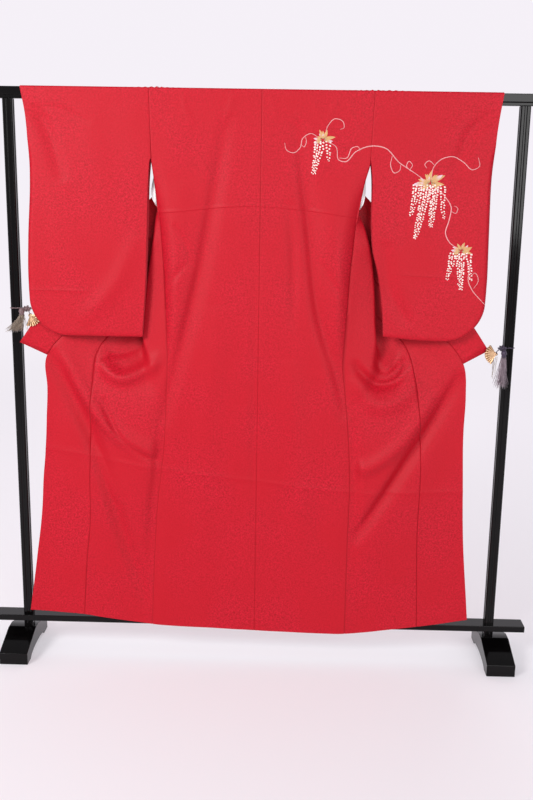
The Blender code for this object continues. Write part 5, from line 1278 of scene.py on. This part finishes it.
for side in (left, right):
    makeClip(side, clipSet[side], fanSet)
    makeTie(side, clipSet[side], standSet, fanSet, cordSet)
    makeTassel(side, clipSet[side], standSet, tasselSet)
makeWisteria(flossSet)
print("ornaments made")

# The room: a pale round bowl, floor and wall in one, lit softly from all round and from the upper left.
roomSet = {
    "floor": "#FFFBFF", "wall": "#F7F2F9", "skyColour": "#F6F4FA", "sky": 0.35,
    "flatTo": 6.0, "bend": 3.0, "height": 7.0, "below": 0.0005, "front": 0.55, "glow": 0.985,
    "aim": (0.0, 0.0, 0.85),
    "lights": (("keyLight", (-2.5, -3.05, 2.8), 1.5, 132.0), ("fillLight", (1.9, -4.3, 2.1), 2.4, 82.0),
               ("rearLight", (0.5, 3.6, 3.4), 2.6, 50.0)),
}


def roomPaint(s):  # paint that glows more, and takes less shade, the further it is from the stand
    made, tree = newMaterial("paintedFloor", {"Roughness": 0.75, "Specular IOR Level": 0.2,
                                              "Base Color": s["floor"]})
    soft = {"interpolation_type": "SMOOTHSTEP"}
    spot = addNode(tree, "ShaderNodeTexCoord", output="Object")
    away = addNode(tree, "ShaderNodeVectorMath", {0: spot}, {"operation": "LENGTH"}, "Value")
    share = addNode(tree, "ShaderNodeMapRange", {"Value": away, "From Min": 1.6, "From Max": 6.5,
                                                 "To Min": 0.45, "To Max": 1.0}, soft)
    depth = addNode(tree, "ShaderNodeSeparateXYZ", {0: spot}, output="Y")
    lit = addNode(tree, "ShaderNodeMapRange", {"Value": depth, "From Min": -4.0, "From Max": 2.0,
                                               "To Min": s["front"], "To Max": s["glow"]}, soft)
    glow = addNode(tree, "ShaderNodeEmission", {"Color": s["wall"], "Strength": lit})
    paint = tree.nodes["Principled BSDF"].outputs[0]
    blend = addNode(tree, "ShaderNodeMixShader", {0: share, 1: paint, 2: glow})
    setInputs(tree, tree.nodes["Material Output"], {"Surface": blend})
    return made


def makeRoom(s):  # a profile turned about Z: level, a quarter round up, then the wall
    rim, wall = np.linspace(0.0, math.pi / 2, 17), s["flatTo"] + s["bend"]
    radius = np.concatenate([[0.0, 0.5, 1.5, 3.0], s["flatTo"] + s["bend"] * np.sin(rim), [wall]])
    height = np.concatenate([[0.0] * 4, s["bend"] * (1 - np.cos(rim)), [s["height"]]]) - s["below"]
    points = revolved(np.stack([radius, height], -1), (0.0, 0.0, 0.0), "Z", 96)
    room = newPiece("room", points["points"], points["faces"][:, ::-1].tolist(), [roomPaint(s)])
    scene = bpy.context.scene
    scene.world = bpy.data.worlds.new("sky")
    scene.world.use_nodes = True
    sky = scene.world.node_tree
    setInputs(sky, sky.nodes["Background"], {"Color": s["skyColour"], "Strength": s["sky"]})
    for name, spot, size, power in s["lights"]:
        light = bpy.data.lights.new(name, "AREA")
        light.shape = "DISK"
        light.size = size
        light.energy = power
        lamp = bpy.data.objects.new(name, light)
        lamp.location = spot
        lamp.rotation_euler = (Vector(s["aim"]) - Vector(spot)).to_track_quat("-Z", "Y").to_euler()
        scene.collection.objects.link(lamp)
    scene.view_settings.view_transform = "Standard"


makeRoom(roomSet)
print("room made")
